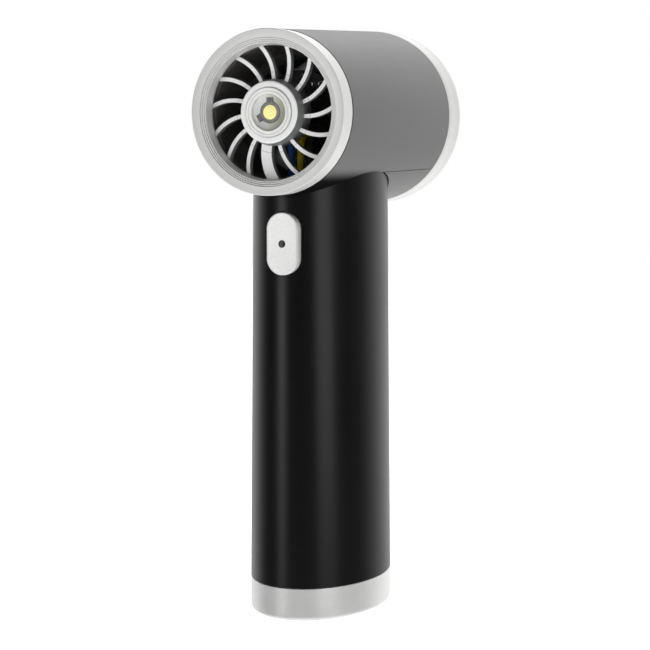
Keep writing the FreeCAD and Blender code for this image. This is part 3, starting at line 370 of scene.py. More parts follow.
class Field:
    """A number inside a node tree; arithmetic on it adds Math nodes."""

    def __init__(self, group, socket):
        self.group, self.socket = group, socket

    __add__, __radd__ = operator("ADD"), operator("ADD", swapped=True)
    __sub__, __rsub__ = operator("SUBTRACT"), operator("SUBTRACT", swapped=True)
    __truediv__, __rtruediv__ = operator("DIVIDE"), operator("DIVIDE", swapped=True)
    __mul__, __abs__ = operator("MULTIPLY"), operator("ABSOLUTE")
    sine, cosine, root = operator("SINE"), operator("COSINE"), operator("SQRT")

    def towards(self, start, end):
        """start where this field is 0, end where it is 1."""
        return (1 - self) * start + self * end


class Tree:
    """A Geometry Nodes tree with named inputs, built by short calls."""

    KINDS = {int: "NodeSocketInt", float: "NodeSocketFloat"}

    def __init__(self, name, sizes, **finishes):
        self.group = bpy.data.node_groups.new(name, "GeometryNodeTree")
        self.values = dict(sizes, **finishes)
        interface = self.group.interface
        for label, value in self.values.items():
            kind = self.KINDS.get(type(value), f"NodeSocket{type(value).__name__}")
            interface.new_socket(label, in_out="INPUT", socket_type=kind)
        interface.new_socket("Geometry", in_out="OUTPUT", socket_type="NodeSocketGeometry")
        self.given = self.group.nodes.new("NodeGroupInput")

    def __getitem__(self, label):
        """The named input, as a field."""
        return Field(self.group, self.given.outputs[label])

    def add(self, kind, settings=None, output=0, **inputs):
        """Adds a geometry node and returns one output; an input's name has _ for a space."""
        node = self.group.nodes.new("GeometryNode" + kind)
        for key, value in (settings or {}).items():
            setattr(node, key, value)
        for key, value in inputs.items():
            plug(self.group, value, node.inputs[key.replace("_", " ")])
        return node.outputs[output]

    def vector(self, x=0.0, y=0.0, z=0.0):
        node = self.group.nodes.new("ShaderNodeCombineXYZ")
        for value, socket in zip((x, y, z), node.inputs):
            plug(self.group, value, socket)
        return node.outputs[0]

    def position(self):
        """The three coordinates of each point."""
        return split(self.group, self.add("InputPosition"))

    def index(self):
        return Field(self.group, self.add("InputIndex"))

    def joined(self, *parts):
        node = self.group.nodes.new("GeometryNodeJoinGeometry")
        for part in reversed(parts):
            self.group.links.new(part, node.inputs[0])
        return node.outputs[0]

    def bar(self, width, height, edge):
        """The section of a bar with rounded edges."""
        plain = self.add("CurvePrimitiveQuadrilateral", Width=width, Height=height)
        return self.add("FilletCurve", {"mode": "POLY"}, Curve=plain, Radius=edge, Count=2)

    def swept(self, curve, section):
        return self.add("CurveToMesh", Curve=curve, Profile_Curve=section, Fill_Caps=True)

    def round_axis(self, part, count, first=0.0, step=None):
        """Copies of a part turned about the tree's own Z."""
        step = math.tau / count if step is None else step
        turn = self.index() * step + first
        points = self.add("Points", Count=count)
        turning = self.vector(z=turn)
        return self.add("InstanceOnPoints", Points=points, Instance=part, Rotation=turning)

    def thickened(self, sheet, thickness):
        """Gives an open sheet a wall on its inner side and closes its rim."""
        normal = self.add("InputNormal")
        inner = self.add("ExtrudeMesh", {"mode": "FACES"}, Mesh=sheet, Offset=normal,
                         Offset_Scale=thickness * -1, Individual=False)
        turned_over = self.add("FlipFaces", Mesh=inner)
        return self.welded(self.joined(sheet, turned_over))

    def welded(self, part, distance=0.005 * MM):
        return self.add("MergeByDistance", Geometry=part, Distance=distance)

    def on_head(self, part, depth):
        """Stands a part drawn about Z on the head's axis, its Z towards the outlet."""
        move = self.vector(0, calc(self.group, "ADD", depth, OUTLET), AXIS)
        return self.add("Transform", Geometry=part, Translation=move,
                        Rotation=(math.radians(90), 0, 0))

    def coated(self, part, label="Finish"):
        real = self.add("RealizeInstances", Geometry=part)
        return self.add("SetMaterial", Geometry=real, Material=self[label])

    def made(self, result):
        """Runs the tree on an empty object and returns its mesh."""
        out = self.group.nodes.new("NodeGroupOutput")
        self.group.links.new(result, out.inputs[0])
        host = temporary(bpy.data.meshes.new("host"))
        grow = host.modifiers.new("grow", "NODES")
        grow.node_group = self.group
        for item in self.group.interface.items_tree:
            if item.in_out == "INPUT":
                grow[item.identifier] = self.values[item.name]
        return settled(host)


# ---------------------------------------------------------------- finishes


def grey(value):
    return (value, value, value)


class Finish:
    """A node material; its patterns are in metres on the piece's own coordinates."""

    def __init__(self, name, colour, **sockets):
        self.material = bpy.data.materials.new(name)
        self.material.use_nodes = True
        self.group = self.material.node_tree
        self.shader = self.group.nodes["Principled BSDF"]
        self.shader.inputs["Base Color"].default_value = (*colour, 1)
        for key, value in sockets.items():
            self.shader.inputs[key.replace("_", " ")].default_value = value
        self.place = self.group.nodes.new("ShaderNodeTexCoord").outputs["Object"]

    def mapped(self, scale, move=(0, 0, 0)):
        node = self.group.nodes.new("ShaderNodeMapping")
        node.inputs["Scale"].default_value = scale
        node.inputs["Location"].default_value = move
        self.group.links.new(self.place, node.inputs["Vector"])
        return node.outputs[0]

    def noise(self, size, detail=3.0, stretch=(1, 1, 1)):
        """A field of soft spots about that size across, from 0 to 1."""
        node = self.group.nodes.new("ShaderNodeTexNoise")
        node.inputs["Scale"].default_value = 1
        node.inputs["Detail"].default_value = detail
        scale = tuple(part / size for part in stretch)
        self.group.links.new(self.mapped(scale), node.inputs["Vector"])
        return Field(self.group, node.outputs["Fac"])

    def grains(self, size):
        """A field of hard grains of that size, from 0 at a grain's middle."""
        node = self.group.nodes.new("ShaderNodeTexVoronoi")
        node.inputs["Scale"].default_value = 1
        self.group.links.new(self.mapped((1 / size,) * 3), node.inputs["Vector"])
        return Field(self.group, node.outputs["Distance"])

    def coordinates(self, move=(0, 0, 0)):
        return split(self.group, self.mapped((1, 1, 1), move))

    def from_axis(self):
        """Distance from the head's axis."""
        across, _, up = self.coordinates((0, 0, -AXIS))
        return (across * across + up * up).root()

    def facing_outlet(self):
        """1 where the surface looks out of the outlet, 0 on flanks, less behind."""
        return split(self.group, self.place.node.outputs["Normal"])[1] * -1

    def ranged(self, field, *limits, **settings):
        return ranged(self.group, field, *limits, **settings)

    def coloured(self, field, low, high):
        """Base colour low where the field is 0, high where it is 1."""
        node = self.group.nodes.new("ShaderNodeMix")
        node.data_type = "RGBA"
        plug(self.group, field, node.inputs["Factor"])
        colours = [socket for socket in node.inputs if socket.type == "RGBA"]
        colours[0].default_value, colours[1].default_value = (*low, 1), (*high, 1)
        result = [socket for socket in node.outputs if socket.type == "RGBA"][0]
        self.group.links.new(result, self.shader.inputs["Base Color"])
        return self

    def rough(self, field, low, high):
        """Roughness from low to high as a noise field rises."""
        spread = self.ranged(field, to_low=low, to_high=high)
        plug(self.group, spread, self.shader.inputs["Roughness"])
        return self

    def bumped(self, field, depth, strength=1.0):
        node = self.group.nodes.new("ShaderNodeBump")
        node.inputs["Distance"].default_value = depth
        node.inputs["Strength"].default_value = strength
        plug(self.group, field, node.inputs["Height"])
        self.group.links.new(node.outputs[0], self.shader.inputs["Normal"])
        return self


def blasted_silver(name, low, high, metallic, roughness, size=0.22 * MM):
    """Anodised aluminium with the fine even grain of glass-bead blasting."""
    finish = Finish(name, high, Metallic=metallic)
    grain, cloud = finish.noise(size), finish.noise(9 * MM)
    finish.coloured(finish.ranged(grain * 0.7 + cloud * 0.3, 0.32, 0.68), low, high)
    finish.rough(grain, roughness - 0.05, roughness + 0.09)
    return finish.bumped(grain + finish.noise(size * 4) * 0.3, size * 0.06, 0.6).material


def turned_silver():
    """Ring silver: blasted, with the faint concentric lines that the lathe leaves."""
    finish = Finish("ring silver", (0.85, 0.85, 0.84), Metallic=0.35)
    grain = finish.noise(0.2 * MM)
    lines = (finish.from_axis() * (math.tau / (0.34 * MM))).sine() * 0.5 + 0.5
    depth_lines = (finish.coordinates()[1] * (math.tau / (0.31 * MM))).sine() * 0.5 + 0.5
    worked = grain * 0.72 + lines * 0.14 + depth_lines * 0.14
    finish.coloured(finish.ranged(worked), (0.66, 0.66, 0.655), (0.82, 0.82, 0.81))
    finish.rough(grain, 0.32, 0.46)
    return finish.bumped(worked, 0.016 * MM, 0.7).material


def vane_silver():
    """Silver, light where the surface looks out of the outlet and dark on flanks and backs as painted shade;
    a fine line crosses the vanes.
    """
    finish = Finish("vane silver", (0.88, 0.88, 0.87), Metallic=0.1)
    grain = finish.noise(0.25 * MM)
    line_radius, line_core, line_edge = 12.2 * MM, 0.04 * MM, 0.13 * MM
    line = finish.ranged(abs(finish.from_axis() - line_radius), line_core, line_edge, smooth=True)
    # Painted shade: outlet-facing surfaces take the light silver, flanks and backs the dark grey.
    painted_lit_faces = finish.ranged(finish.facing_outlet() + grain * 0.2, 0.35, 0.65, smooth=True)
    tone_and_painted_shade = painted_lit_faces * finish.ranged(grain, to_low=0.9) * line.towards(0.45, 1.0)
    finish.coloured(tone_and_painted_shade, (0.2, 0.202, 0.205), (0.98, 0.98, 0.975))
    finish.rough(grain, 0.34, 0.48)
    return finish.bumped(line * 0.8 + grain * 0.3, 0.02 * MM, 0.6).material


def drum_grey():
    """Satin grey lacquer with a very fine metal flake, with painted shade in the corner ahead of the handle.
    """
    finish = Finish("drum grey", (0.16, 0.16, 0.158), Metallic=0.3, Sheen_Roughness=0.4)
    flake, cloud = finish.noise(0.16 * MM), finish.noise(14 * MM)
    _, y, z = finish.coordinates()
    # Painted shade: low down at the front, where the drum meets the ring and the handle, the colour fades to
    # near black.
    corner_low, corner_top = AXIS - 21.2 * MM, AXIS - 16.8 * MM
    corner_end, clear = HANDLE_CENTRE - 8 * MM, HANDLE_CENTRE + 4 * MM
    above = finish.ranged(z, corner_low, corner_top, smooth=True)
    behind = finish.ranged(y, corner_end, clear, smooth=True)
    clear_of_painted_shade = calc(finish.group, "MAXIMUM", above, behind)
    # The same painted shade also takes the sheen and most of the specular away in that corner.
    plug(finish.group, clear_of_painted_shade * 0.5, finish.shader.inputs["Sheen Weight"])
    plug(finish.group, clear_of_painted_shade * 0.45 + 0.05, finish.shader.inputs["Specular IOR Level"])
    tone_and_painted_shade = finish.ranged(flake * 0.75 + cloud * 0.25, to_low=0.29, to_high=0.51) * clear_of_painted_shade
    finish.coloured(tone_and_painted_shade, grey(0.004), (0.21, 0.21, 0.207))
    finish.rough(cloud * 0.5 + flake * 0.5, 0.42, 0.54)
    return finish.bumped(flake + finish.noise(0.8 * MM) * 0.5, 0.012 * MM, 0.6).material


def handle_black():
    """Satin black soft lacquer with a faint orange peel."""
    finish = Finish("handle black", grey(0.006), IOR=1.5)
    peel, grain = finish.noise(0.75 * MM), finish.noise(0.2 * MM)
    smudge = finish.noise(16 * MM, stretch=(1, 1, 0.4))
    finish.coloured(finish.ranged(grain), grey(0.0015), (0.005, 0.0049, 0.0048))
    finish.rough(grain * 0.5 + smudge * 0.5, 0.27, 0.37)
    return finish.bumped(peel * 0.6 + grain * 0.4, 0.012 * MM, 0.6).material


def moulded(name, low, high, roughness, grain=0.3 * MM, depth=0.02 * MM, **sockets):
    """Moulded plastic, rubber or lacquer: a soft colour drift over a fine spark-eroded grain."""
    finish = Finish(name, high, **sockets)
    fine, cloud = finish.noise(grain), finish.noise(grain * 22)
    finish.coloured(finish.ranged(fine * 0.5 + cloud * 0.5, 0.32, 0.68), low, high)
    finish.rough(fine, roughness - 0.06, roughness + 0.08)
    return finish.bumped(fine, depth, 0.5).material


def rolled_metal(name, low, high, roughness, stretch=(1, 1, 1), line=0.12 * MM):
    """Plain metal with the fine lines of rolling or grinding along one direction."""
    finish = Finish(name, high, Metallic=1.0)
    lines, cloud = finish.noise(line, stretch=stretch), finish.noise(6 * MM)
    finish.coloured(finish.ranged(lines * 0.6 + cloud * 0.4), low, high)
    finish.rough(lines, roughness - 0.08, roughness + 0.1)
    return finish.bumped(lines, 0.008 * MM, 0.5).material


def laminated(name, low, high, pitch):
    """Stacked sheets, seen as fine steps along the head's axis."""
    finish = Finish(name, high, Metallic=0.8)
    steps = (finish.coordinates()[1] * (math.tau / pitch)).sine() * 0.5 + 0.5
    grain = finish.noise(0.2 * MM)
    finish.coloured(steps * 0.7 + grain * 0.3, low, high)
    finish.rough(grain, 0.35, 0.5)
    return finish.bumped(steps, 0.05 * MM, 0.7).material


def circuit_board(name, mask, copper):
    """Solder mask over copper tracks, with a thin weave beneath."""
    finish = Finish(name, mask, Specular_IOR_Level=0.15)
    across, along, up = finish.coordinates()
    tracks = finish.ranged(finish.grains(1.5 * MM), 0.42, 0.5, smooth=True)
    thread = math.tau / (0.3 * MM)
    weave = (across * thread).sine() * (up * thread).sine() * (along * thread).cosine()
    finish.coloured(tracks, mask, copper)
    finish.rough(finish.noise(0.5 * MM), 0.25, 0.38)
    return finish.bumped(tracks + weave * 0.1, 0.03 * MM, 0.6).material


def clear_window():
    """Clear polycarbonate, hardly tinted, with the faintest haze."""
    finish = Finish("lamp window", (0.93, 0.93, 0.95), Alpha=0.07, IOR=1.5)
    haze = finish.noise(2 * MM)
    finish.coloured(finish.ranged(haze), (0.88, 0.88, 0.93), (0.96, 0.96, 0.97))
    finish.rough(haze, 0.04, 0.09)
    return finish.material


def vapour_mirror():
    """The reflector's metal coating on moulded plastic, with a painted reflection that runs from bright to
    dim across it.
    """
    finish = Finish("reflector coat", (0.82, 0.83, 0.81), Metallic=0.2)
    ripple = finish.noise(1.1 * MM)
    # Painted reflection: bright silver on the left, dimmer greenish grey towards the right.
    painted_reflection_sweep = finish.ranged(finish.coordinates()[0] + ripple * 0.8 * MM, -4 * MM, 5 * MM, smooth=True)
    finish.coloured(painted_reflection_sweep, (0.86, 0.87, 0.85), (0.4, 0.42, 0.3))
    finish.rough(ripple, 0.3, 0.4)
    return finish.bumped(ripple, 0.006 * MM, 0.3).material


def phosphor():
    """The lamp's yellow disc: a grainy resin that glows faintly."""
    finish = Finish("lamp phosphor", (0.9, 0.85, 0.25), Emission_Strength=0.28)
    finish.shader.inputs["Emission Color"].default_value = (1.0, 0.93, 0.35, 1)
    grain = finish.noise(0.3 * MM)
    finish.coloured(finish.ranged(grain), (0.86, 0.74, 0.12), (0.95, 0.93, 0.42))
    finish.rough(grain, 0.3, 0.45)
    return finish.bumped(grain, 0.03 * MM, 0.6).material


def make_finishes():
    """Every finish by the name of the record's material slot that it gives a look to."""
    dull_silver = dict(low=grey(0.6), high=(0.82, 0.82, 0.81))
    return {
        "silver_ring": turned_silver(),
        "cap_silver": blasted_silver("cap silver", (0.8, 0.8, 0.795), (0.95, 0.95, 0.94), 0.5, 0.36),
        "button_silver": blasted_silver("button silver", (0.78, 0.78, 0.775), (0.93, 0.93, 0.92),
                                        0.4, 0.3),
        "silver_vane": vane_silver(),
        "bezel_silver": blasted_silver("bezel silver", (0.8, 0.8, 0.79), (0.93, 0.93, 0.92), 0.3, 0.28,
                                       0.07 * MM),
        "shell_grey": drum_grey(),
        "handle_black": handle_black(),
        "duct_black": moulded("duct black", (0.11, 0.107, 0.098), (0.17, 0.165, 0.155), 0.3),
        "lens_clear": clear_window(),
        "reflector_silver": vapour_mirror(),
        "led_ceramic": moulded("lamp ceramic", (0.09, 0.075, 0.06), (0.17, 0.14, 0.115), 0.4),
        "phosphor_yellow": phosphor(),
        "terminal_dark": moulded("lamp terminal", (0.02, 0.019, 0.018), (0.035, 0.033, 0.03), 0.5),
        "board_black": circuit_board("driver board", (0.006, 0.006, 0.007), (0.02, 0.019, 0.017)),
        "board_green": circuit_board("green board", (0.008, 0.07, 0.03), (0.02, 0.13, 0.05)),
        "chip_black": moulded("chip black", grey(0.012), grey(0.03), 0.5),
        "solder": rolled_metal("solder", (0.7, 0.7, 0.68), (0.95, 0.95, 0.94), 0.22),
        "plain_steel": rolled_metal("steel", roughness=0.3, **dull_silver),
        "magnet_grey": rolled_metal("magnet", grey(0.2), (0.32, 0.32, 0.33), 0.4),
        "core_steel": laminated("core sheets", grey(0.2), grey(0.5), 0.5 * MM),
        "coil_copper": laminated("coil wire", (0.35, 0.11, 0.04), (0.78, 0.32, 0.15), 0.45 * MM),
        "impeller_grey": moulded("impeller grey", grey(0.12), grey(0.2), 0.38),
        "wire_blue": moulded("blue wire", (0.006, 0.07, 0.24), (0.01, 0.1, 0.36), 0.35),
        "wire_yellow": moulded("yellow wire", (0.52, 0.4, 0.01), (0.78, 0.6, 0.03), 0.35),
        "wire_black": moulded("black wire", grey(0.01), grey(0.03), 0.35),
        "wire_red": moulded("red wire", (0.3, 0.01, 0.01), (0.5, 0.02, 0.02), 0.35),
        "grille_black": moulded("guard black", grey(0.012), grey(0.03), 0.42),
        "mesh_steel": rolled_metal("screen wire", roughness=0.32, **dull_silver),
        "rubber_black": moulded("rubber", grey(0.012), grey(0.025), 0.75),
        "cell_wrap": moulded("cell wrap", (0.02, 0.1, 0.22), (0.035, 0.16, 0.32), 0.3),
        "nickel": rolled_metal("nickel", (0.55, 0.53, 0.49), (0.75, 0.72, 0.67), 0.25),
        "frame_plastic": moulded("frame plastic", grey(0.03), grey(0.055), 0.5),
        "window_dark": moulded("indicator", grey(0.008), grey(0.02), 0.12),
    }


# ---------------------------------------------------------------- outlet ring, hub and vanes


def make_outlet_ring(finishes):
    """The outlet ring: a dished face, three grooved steps, a taper to the bore and a spigot."""
    mouth, step, rise, dish, soft = 22.5 * MM, 0.55 * MM, 0.3 * MM, 0.25 * MM, 0.07 * MM
    spigot, seat, spigot_bore = 23.7 * MM, 4.7 * MM, 22.2 * MM
    bore, mouth_depth, chamfer = 20.3 * MM, 4.1 * MM, 0.35 * MM
    groove_width, groove_depth = 0.2 * MM, 0.24 * MM
    spigot_end = ring_high.y - OUTLET
    steps = []
    for number in (2, 1, 0):
        edge, tread = mouth - step * number, dish + rise * (number + 1)
        steps += [
            (edge - groove_width, tread, 0),
            (edge - groove_width / 2, tread + groove_depth, 0),
            (edge, tread - rise, soft),
        ]
    corners = [
        (COLLAR, 0, chamfer),
        (COLLAR, COLLAR_LENGTH, 0.15 * MM),
        (spigot, COLLAR_LENGTH),
        (spigot, spigot_end),
        (spigot_bore, spigot_end),
        (spigot_bore, seat),
        (bore, seat, soft),
        (bore, mouth_depth, 0.3 * MM),
        (mouth - step * 3, dish + rise * 3, 0.2 * MM),
        *steps,
    ]
    piece("outlet_ring", turned(corners), finishes["silver_ring"], "front_ring")


def make_lamp_hub(finishes):
    """The hub that holds the lamp and the rim that seats the vane cage in the outlet ring."""
    lip, floor = 0.5 * MM, 1.2 * MM
    opening = 2.1 * MM
    hub = turned([
        (HUB_BORE, HUB_FRONT, lip),
        (HUB, HUB_FRONT, lip),
        (HUB_FLARE, VANE_FRONT, 0.3 * MM),
        (HUB_FLARE, HUB_BACK),
        (opening, HUB_BACK),
        (opening, HUB_BACK - floor),
        (HUB_BORE, HUB_BACK - floor),
    ])
    piece("lamp_hub", hub, finishes["silver_vane"], "outlet_vane_cage")
    seat, depth, outside = 4.7 * MM, 1.9 * MM, 22.15 * MM
    rim = turned([(RIM, seat), (outside, seat), (outside, seat + depth), (RIM, seat + depth)])
    piece("vane_rim", rim, finishes["silver_vane"], "outlet_vane_cage")


def vane_angle(reach):
    """Where round its bend a vane reaches that far from the head's axis."""
    far = VANE_BEND_CENTRE.length
    along = (reach ** 2 - VANE_BEND ** 2 + far ** 2) / (2 * far)
    across = math.sqrt(reach ** 2 - along ** 2)
    towards = VANE_BEND_CENTRE.normalized()
    point = towards * along + Vector((towards.y, -towards.x)) * across - VANE_BEND_CENTRE
    return math.atan2(point.y, point.x)


def make_guide_vanes(finishes):
    """Fourteen thin vanes and one thick one, each an arc swept with a rounded section."""
    overlap = 0.35 * MM
    root, tip = vane_angle(HUB_FLARE - overlap), vane_angle(RIM + overlap)
    sweep = (tip - root + math.pi) % math.tau - math.pi
    tree = Tree("guide vanes", {
        "Vane Count": VANE_COUNT,
        "Bend Radius": VANE_BEND,
        "Bend Across": VANE_BEND_CENTRE.x,
        "Bend Up": VANE_BEND_CENTRE.y,
        "Root Angle": root,
        "Sweep": sweep,
        "Thickness": 1.25 * MM,
        "Key Thickness": 3.5 * MM,
        "Depth": VANE_DEPTH,
        "Edge Round": 0.07 * MM,
    }, Finish=finishes["silver_vane"])
    arc = tree.add("CurveArc", {"mode": "RADIUS"}, Resolution=28,
                   Radius=tree["Bend Radius"], Start_Angle=tree["Root Angle"],
                   Sweep_Angle=tree["Sweep"])
    middle = tree.vector(tree["Bend Across"], tree["Bend Up"])
    path = tree.add("Transform", Geometry=arc, Translation=middle)
    step = math.tau / tree["Vane Count"]
    rows = []
    for label, count, first in (("Thickness", tree["Vane Count"] - 1, step), ("Key Thickness", 1, 0.0)):
        section = tree.bar(tree[label], tree["Depth"], tree["Edge Round"])
        vane = tree.swept(path, section)
        rows.append(tree.round_axis(vane, count, first, step))
    cage = tree.on_head(tree.joined(*rows), VANE_FRONT + VANE_DEPTH / 2)
    mesh = tree.made(tree.coated(cage))
    piece("guide_vanes", mesh, None, "outlet_vane_cage")


# ---------------------------------------------------------------- lamp


def make_lamp(finishes):
    """Grooved bezel and clear window in front of the reflector cup."""
    lens, seat = lens_high.x, lens_low.y - OUTLET
    out, front, foot = bezel_high.x, bezel_low.y - OUTLET, bezel_high.y - OUTLET
    lip, groove, play = seat - front, 0.25 * MM, 0.05 * MM
    middle = lens + 0.7 * MM
    bezel = turned([
        (lens - lip, seat),
        (lens - lip / 3, front, 0.15 * MM),
        (middle - groove, front),
        (middle - groove / 2, front + groove),
        (middle + groove / 2, front + groove),
        (middle + groove, front),
        (out, front, 0.2 * MM),
        (out, foot),
        (lens + play, foot),
        (lens + play, seat),
    ], radius=0.08 * MM)
    piece("bezel_ring", bezel, finishes["bezel_silver"], "lamp_bezel")
    lens_back = lens_high.y - OUTLET
    window = turned([(0, seat), (lens, seat), (lens, lens_back), (0, lens_back)],
                    radius=0.1 * MM, closed=False)
    piece("lamp_window", window, finishes["lens_clear"], "lamp_lens")


# ---------------------------------------------------------------- drum, panel and intake ring


def drum_profile():
    """The grey cone's wall as (radius, depth) corners, split so that cuts stay even."""
    corners = [
        (DRUM_FRONT - DRUM_WALL, DRUM_START),
        (DRUM_FRONT, DRUM_START),
        (DRUM_REAR, DRUM_END),
        (DRUM_REAR - DRUM_WALL, DRUM_END),
    ]
    return divided(rounded(corners, 0.12 * MM), 5 * MM)


def handle_column(grow):
    """The space of the handle below the head's axis, grown all round."""
    outline = handle_oval(HANDLE_TOP_WIDTH, grow)
    return prism(outline, AXIS - REAR - 6 * MM, AXIS, upright)


def under_seam(margin):
    """The space behind the handle under the drum's seam, as a wedge."""
    start, far = HANDLE_CENTRE + margin, INTAKE + 1 * MM
    drop = SEAM_DROP + margin
    side = [
        (start, AXIS - drop),
        (far, AXIS - drop + SEAM_RISE),
        (far, AXIS - REAR - 4 * MM),
        (start, AXIS - REAR - 4 * MM),
    ]
    mesh = bmesh.new()
    width = REAR + 2 * MM
    walls = [[mesh.verts.new((x, y, z)) for y, z in side] for x in (-width, width)]
    for wall in walls:
        mesh.faces.new(wall)
    for number in range(4):
        after = (number + 1) % 4
        mesh.faces.new((walls[0][number], walls[0][after], walls[1][after], walls[1][number]))
    bmesh.ops.recalc_face_normals(mesh, faces=mesh.faces)
    return as_data(mesh, "wedge")


def make_drum(finishes):
    """The grey drum and its lower panel: one cone, parted along the seam and round the handle."""
    grey = finishes["shell_grey"]
    cone = carried(circle(0), drum_profile(), at_head)
    panel = shaped(cone.copy(), [handle_column(PANEL_GAP)], [under_seam(COVER_GAP)])
    drum = shaped(cone, [handle_column(COVER_GAP), under_seam(0)])
    piece("drum_shell", drum, grey, "head_shell")
    piece("drum_panel", panel, grey, "underside_panel")


def make_intake_ring(finishes):
    """The intake ring: it carries on the cone, rounds over and steps in to the guard."""
    bore, lip, seat = 22.6 * MM, 0.8 * MM, 91.6 * MM
    pocket, spigot, spigot_start = 26 * MM, 27.2 * MM, 80 * MM
    length, start, edge = INTAKE - OUTLET, DRUM_END + COVER_GAP, 4.48 * MM
    corners = [
        (DRUM_REAR, start, 0.15 * MM),
        (REAR, length - edge - 0.05 * MM, 0.02 * MM),
        (REAR, length, edge),
        (bore + lip, length, 0.2 * MM),
        (bore, length - lip, 0.2 * MM),
        (bore, seat),
        (pocket, seat),
        (pocket, spigot_start),
        (spigot, spigot_start),
        (spigot, start),
    ]
    piece("intake_ring", turned(corners), finishes["silver_ring"], "rear_ring")


def make_intake_guard(finishes):
    """The guard: a hub, rings at even steps and spokes, all of one rounded bar."""
    outer, hub = guard_high.x, 4 * MM
    depth = guard_high.y - guard_low.y
    tree = Tree("intake guard", {
        "Ring Count": 4,
        "Spoke Count": 12,
        "Hub Radius": hub,
        "Ring Step": (outer - 1 * MM - hub) / 5,
        "Rim Radius": outer - 0.62 * MM,
        "Bar Width": 0.9 * MM,
        "Rim Width": 1.2 * MM,
        "Depth": depth,
        "Edge Round": 0.25 * MM,
    }, Finish=finishes["grille_black"])
    bar = tree.bar(tree["Bar Width"], tree["Depth"], tree["Edge Round"])
    unit = tree.add("CurvePrimitiveCircle", Resolution=128, Radius=1.0)
    reach = tree["Hub Radius"] + tree["Ring Step"] * (tree.index() + 1)
    spots = tree.add("Points", Count=tree["Ring Count"])
    rings = tree.add("InstanceOnPoints", Points=spots, Instance=unit,
                     Scale=tree.vector(reach, reach, 1))
    rings = tree.swept(tree.add("RealizeInstances", Geometry=rings), bar)
    rim_path = tree.add("CurvePrimitiveCircle", Resolution=192,
                        Radius=tree["Rim Radius"])
    rim = tree.swept(rim_path, tree.bar(tree["Rim Width"], tree["Depth"],
                                        tree["Edge Round"]))
    line = tree.add("CurvePrimitiveLine", Start=tree.vector(tree["Hub Radius"] * 0.8),
                    End=tree.vector(tree["Rim Radius"]))
    spokes = tree.round_axis(tree.swept(line, bar), tree["Spoke Count"])
    centre = tree.add("MeshCylinder", Vertices=64, Radius=tree["Hub Radius"],
                      Depth=tree["Depth"])
    guard = tree.on_head(tree.joined(rings, rim, spokes, centre), guard_low.y + depth / 2 - OUTLET)
    mesh = tree.made(tree.coated(guard))
    piece("intake_guard", mesh, None, "intake_grille", crease=50)


def make_dust_screen(finishes):
    """The dust screen: two sets of crossing wires that weave over and under each other."""
    tree = Tree("dust screen", {
        "Wire Count": 41,
        "Pitch": 1.05 * MM,
        "Radius": screen_high.x - 0.3 * MM,
        "Wire Radius": 0.11 * MM,
        "Weave": 0.12 * MM,
    }, Finish=finishes["mesh_steel"])
    pitch, reach = tree["Pitch"], tree["Radius"]
    half = (tree["Wire Count"] - 1) * 0.5
    spots = tree.add("MeshLine", {"mode": "OFFSET"}, Count=tree["Wire Count"],
                     Start_Location=tree.vector(half * pitch * -1), Offset=tree.vector(pitch))
    across = tree.position()[0]
    chord = calc(tree.group, "MAXIMUM", reach * reach - across * across, 1e-9).root()
    line = tree.add("CurvePrimitiveLine", Start=(0, -1, 0), End=(0, 1, 0))
    line = tree.add("ResampleCurve", Curve=line, Count=84)
    wires = tree.add("InstanceOnPoints", Points=spots, Instance=line,
                     Scale=tree.vector(1, chord, 1))
    wires = tree.add("RealizeInstances", Geometry=wires)
    x, y, _ = tree.position()
    wave = ((x + y) * (math.pi / pitch)).cosine() * tree["Weave"]
    wires = tree.add("SetPosition", Geometry=wires, Offset=tree.vector(z=wave))
    section = tree.add("CurvePrimitiveCircle", Resolution=5, Radius=tree["Wire Radius"])
    one_way = tree.swept(wires, section)
    other_way = tree.add("Transform", Geometry=one_way, Rotation=(math.pi, 0, math.pi / 2))
    depth = (screen_low.y + screen_high.y) / 2 - OUTLET
    mesh = tree.made(tree.coated(tree.on_head(tree.joined(one_way, other_way), depth)))
    piece("dust_screen", mesh, None, "intake_mesh", crease=80)


# ---------------------------------------------------------------- handle, cap and button


def make_handle(finishes):
    """The oval tube, drawn by rule: its top follows the drum's cone all the way round."""
    tree = Tree("oval handle", {
        "Around": TURNS + 1,
        "Levels": 64,
        "Foot": tube_low.z,
        "Centre": HANDLE_CENTRE,
        "Half Length": HANDLE_LENGTH,
        "Base Half Width": HANDLE_BASE_WIDTH,
        "Top Half Width": HANDLE_TOP_WIDTH,
        "Cone Radius": DRUM_FRONT - SADDLE_DEPTH,
        "Cone Slope": (DRUM_REAR - DRUM_FRONT) / (DRUM_END - COLLAR_LENGTH),
        "Wall": HANDLE_WALL,
    }, Finish=finishes["handle_black"])
    sheet = tree.add("MeshGrid", Size_X=1.0, Size_Y=1.0,
                     Vertices_X=tree["Around"], Vertices_Y=tree["Levels"])
    across, along, _ = tree.position()
    turn, level = (across + 0.5) * math.tau, along + 0.5
    y = tree["Centre"] - tree["Half Length"] * turn.cosine()
    cone = tree["Cone Radius"] + (y - (OUTLET + COLLAR_LENGTH)) * tree["Cone Slope"]
    near = tree["Top Half Width"] * turn.sine()
    top = AXIS - (cone * cone - near * near).root()
    height = level.towards(tree["Foot"], top)
    rise = (height - CAP_HEIGHT) / (HANDLE_DRAWN_TO - CAP_HEIGHT)
    x = rise.towards(tree["Base Half Width"], tree["Top Half Width"]) * turn.sine()
    sheet = tree.add("SetPosition", Geometry=sheet, Position=tree.vector(x, y, height))
    tube = tree.thickened(tree.welded(sheet), tree["Wall"])
    mesh = tree.made(tree.coated(tube))
    button_play = 0.35 * MM
    mesh = shaped(mesh, [button_prism(button_play)], bevel=0.22 * MM, crease=50)
    piece("handle_tube", mesh, None, "handle_shell")


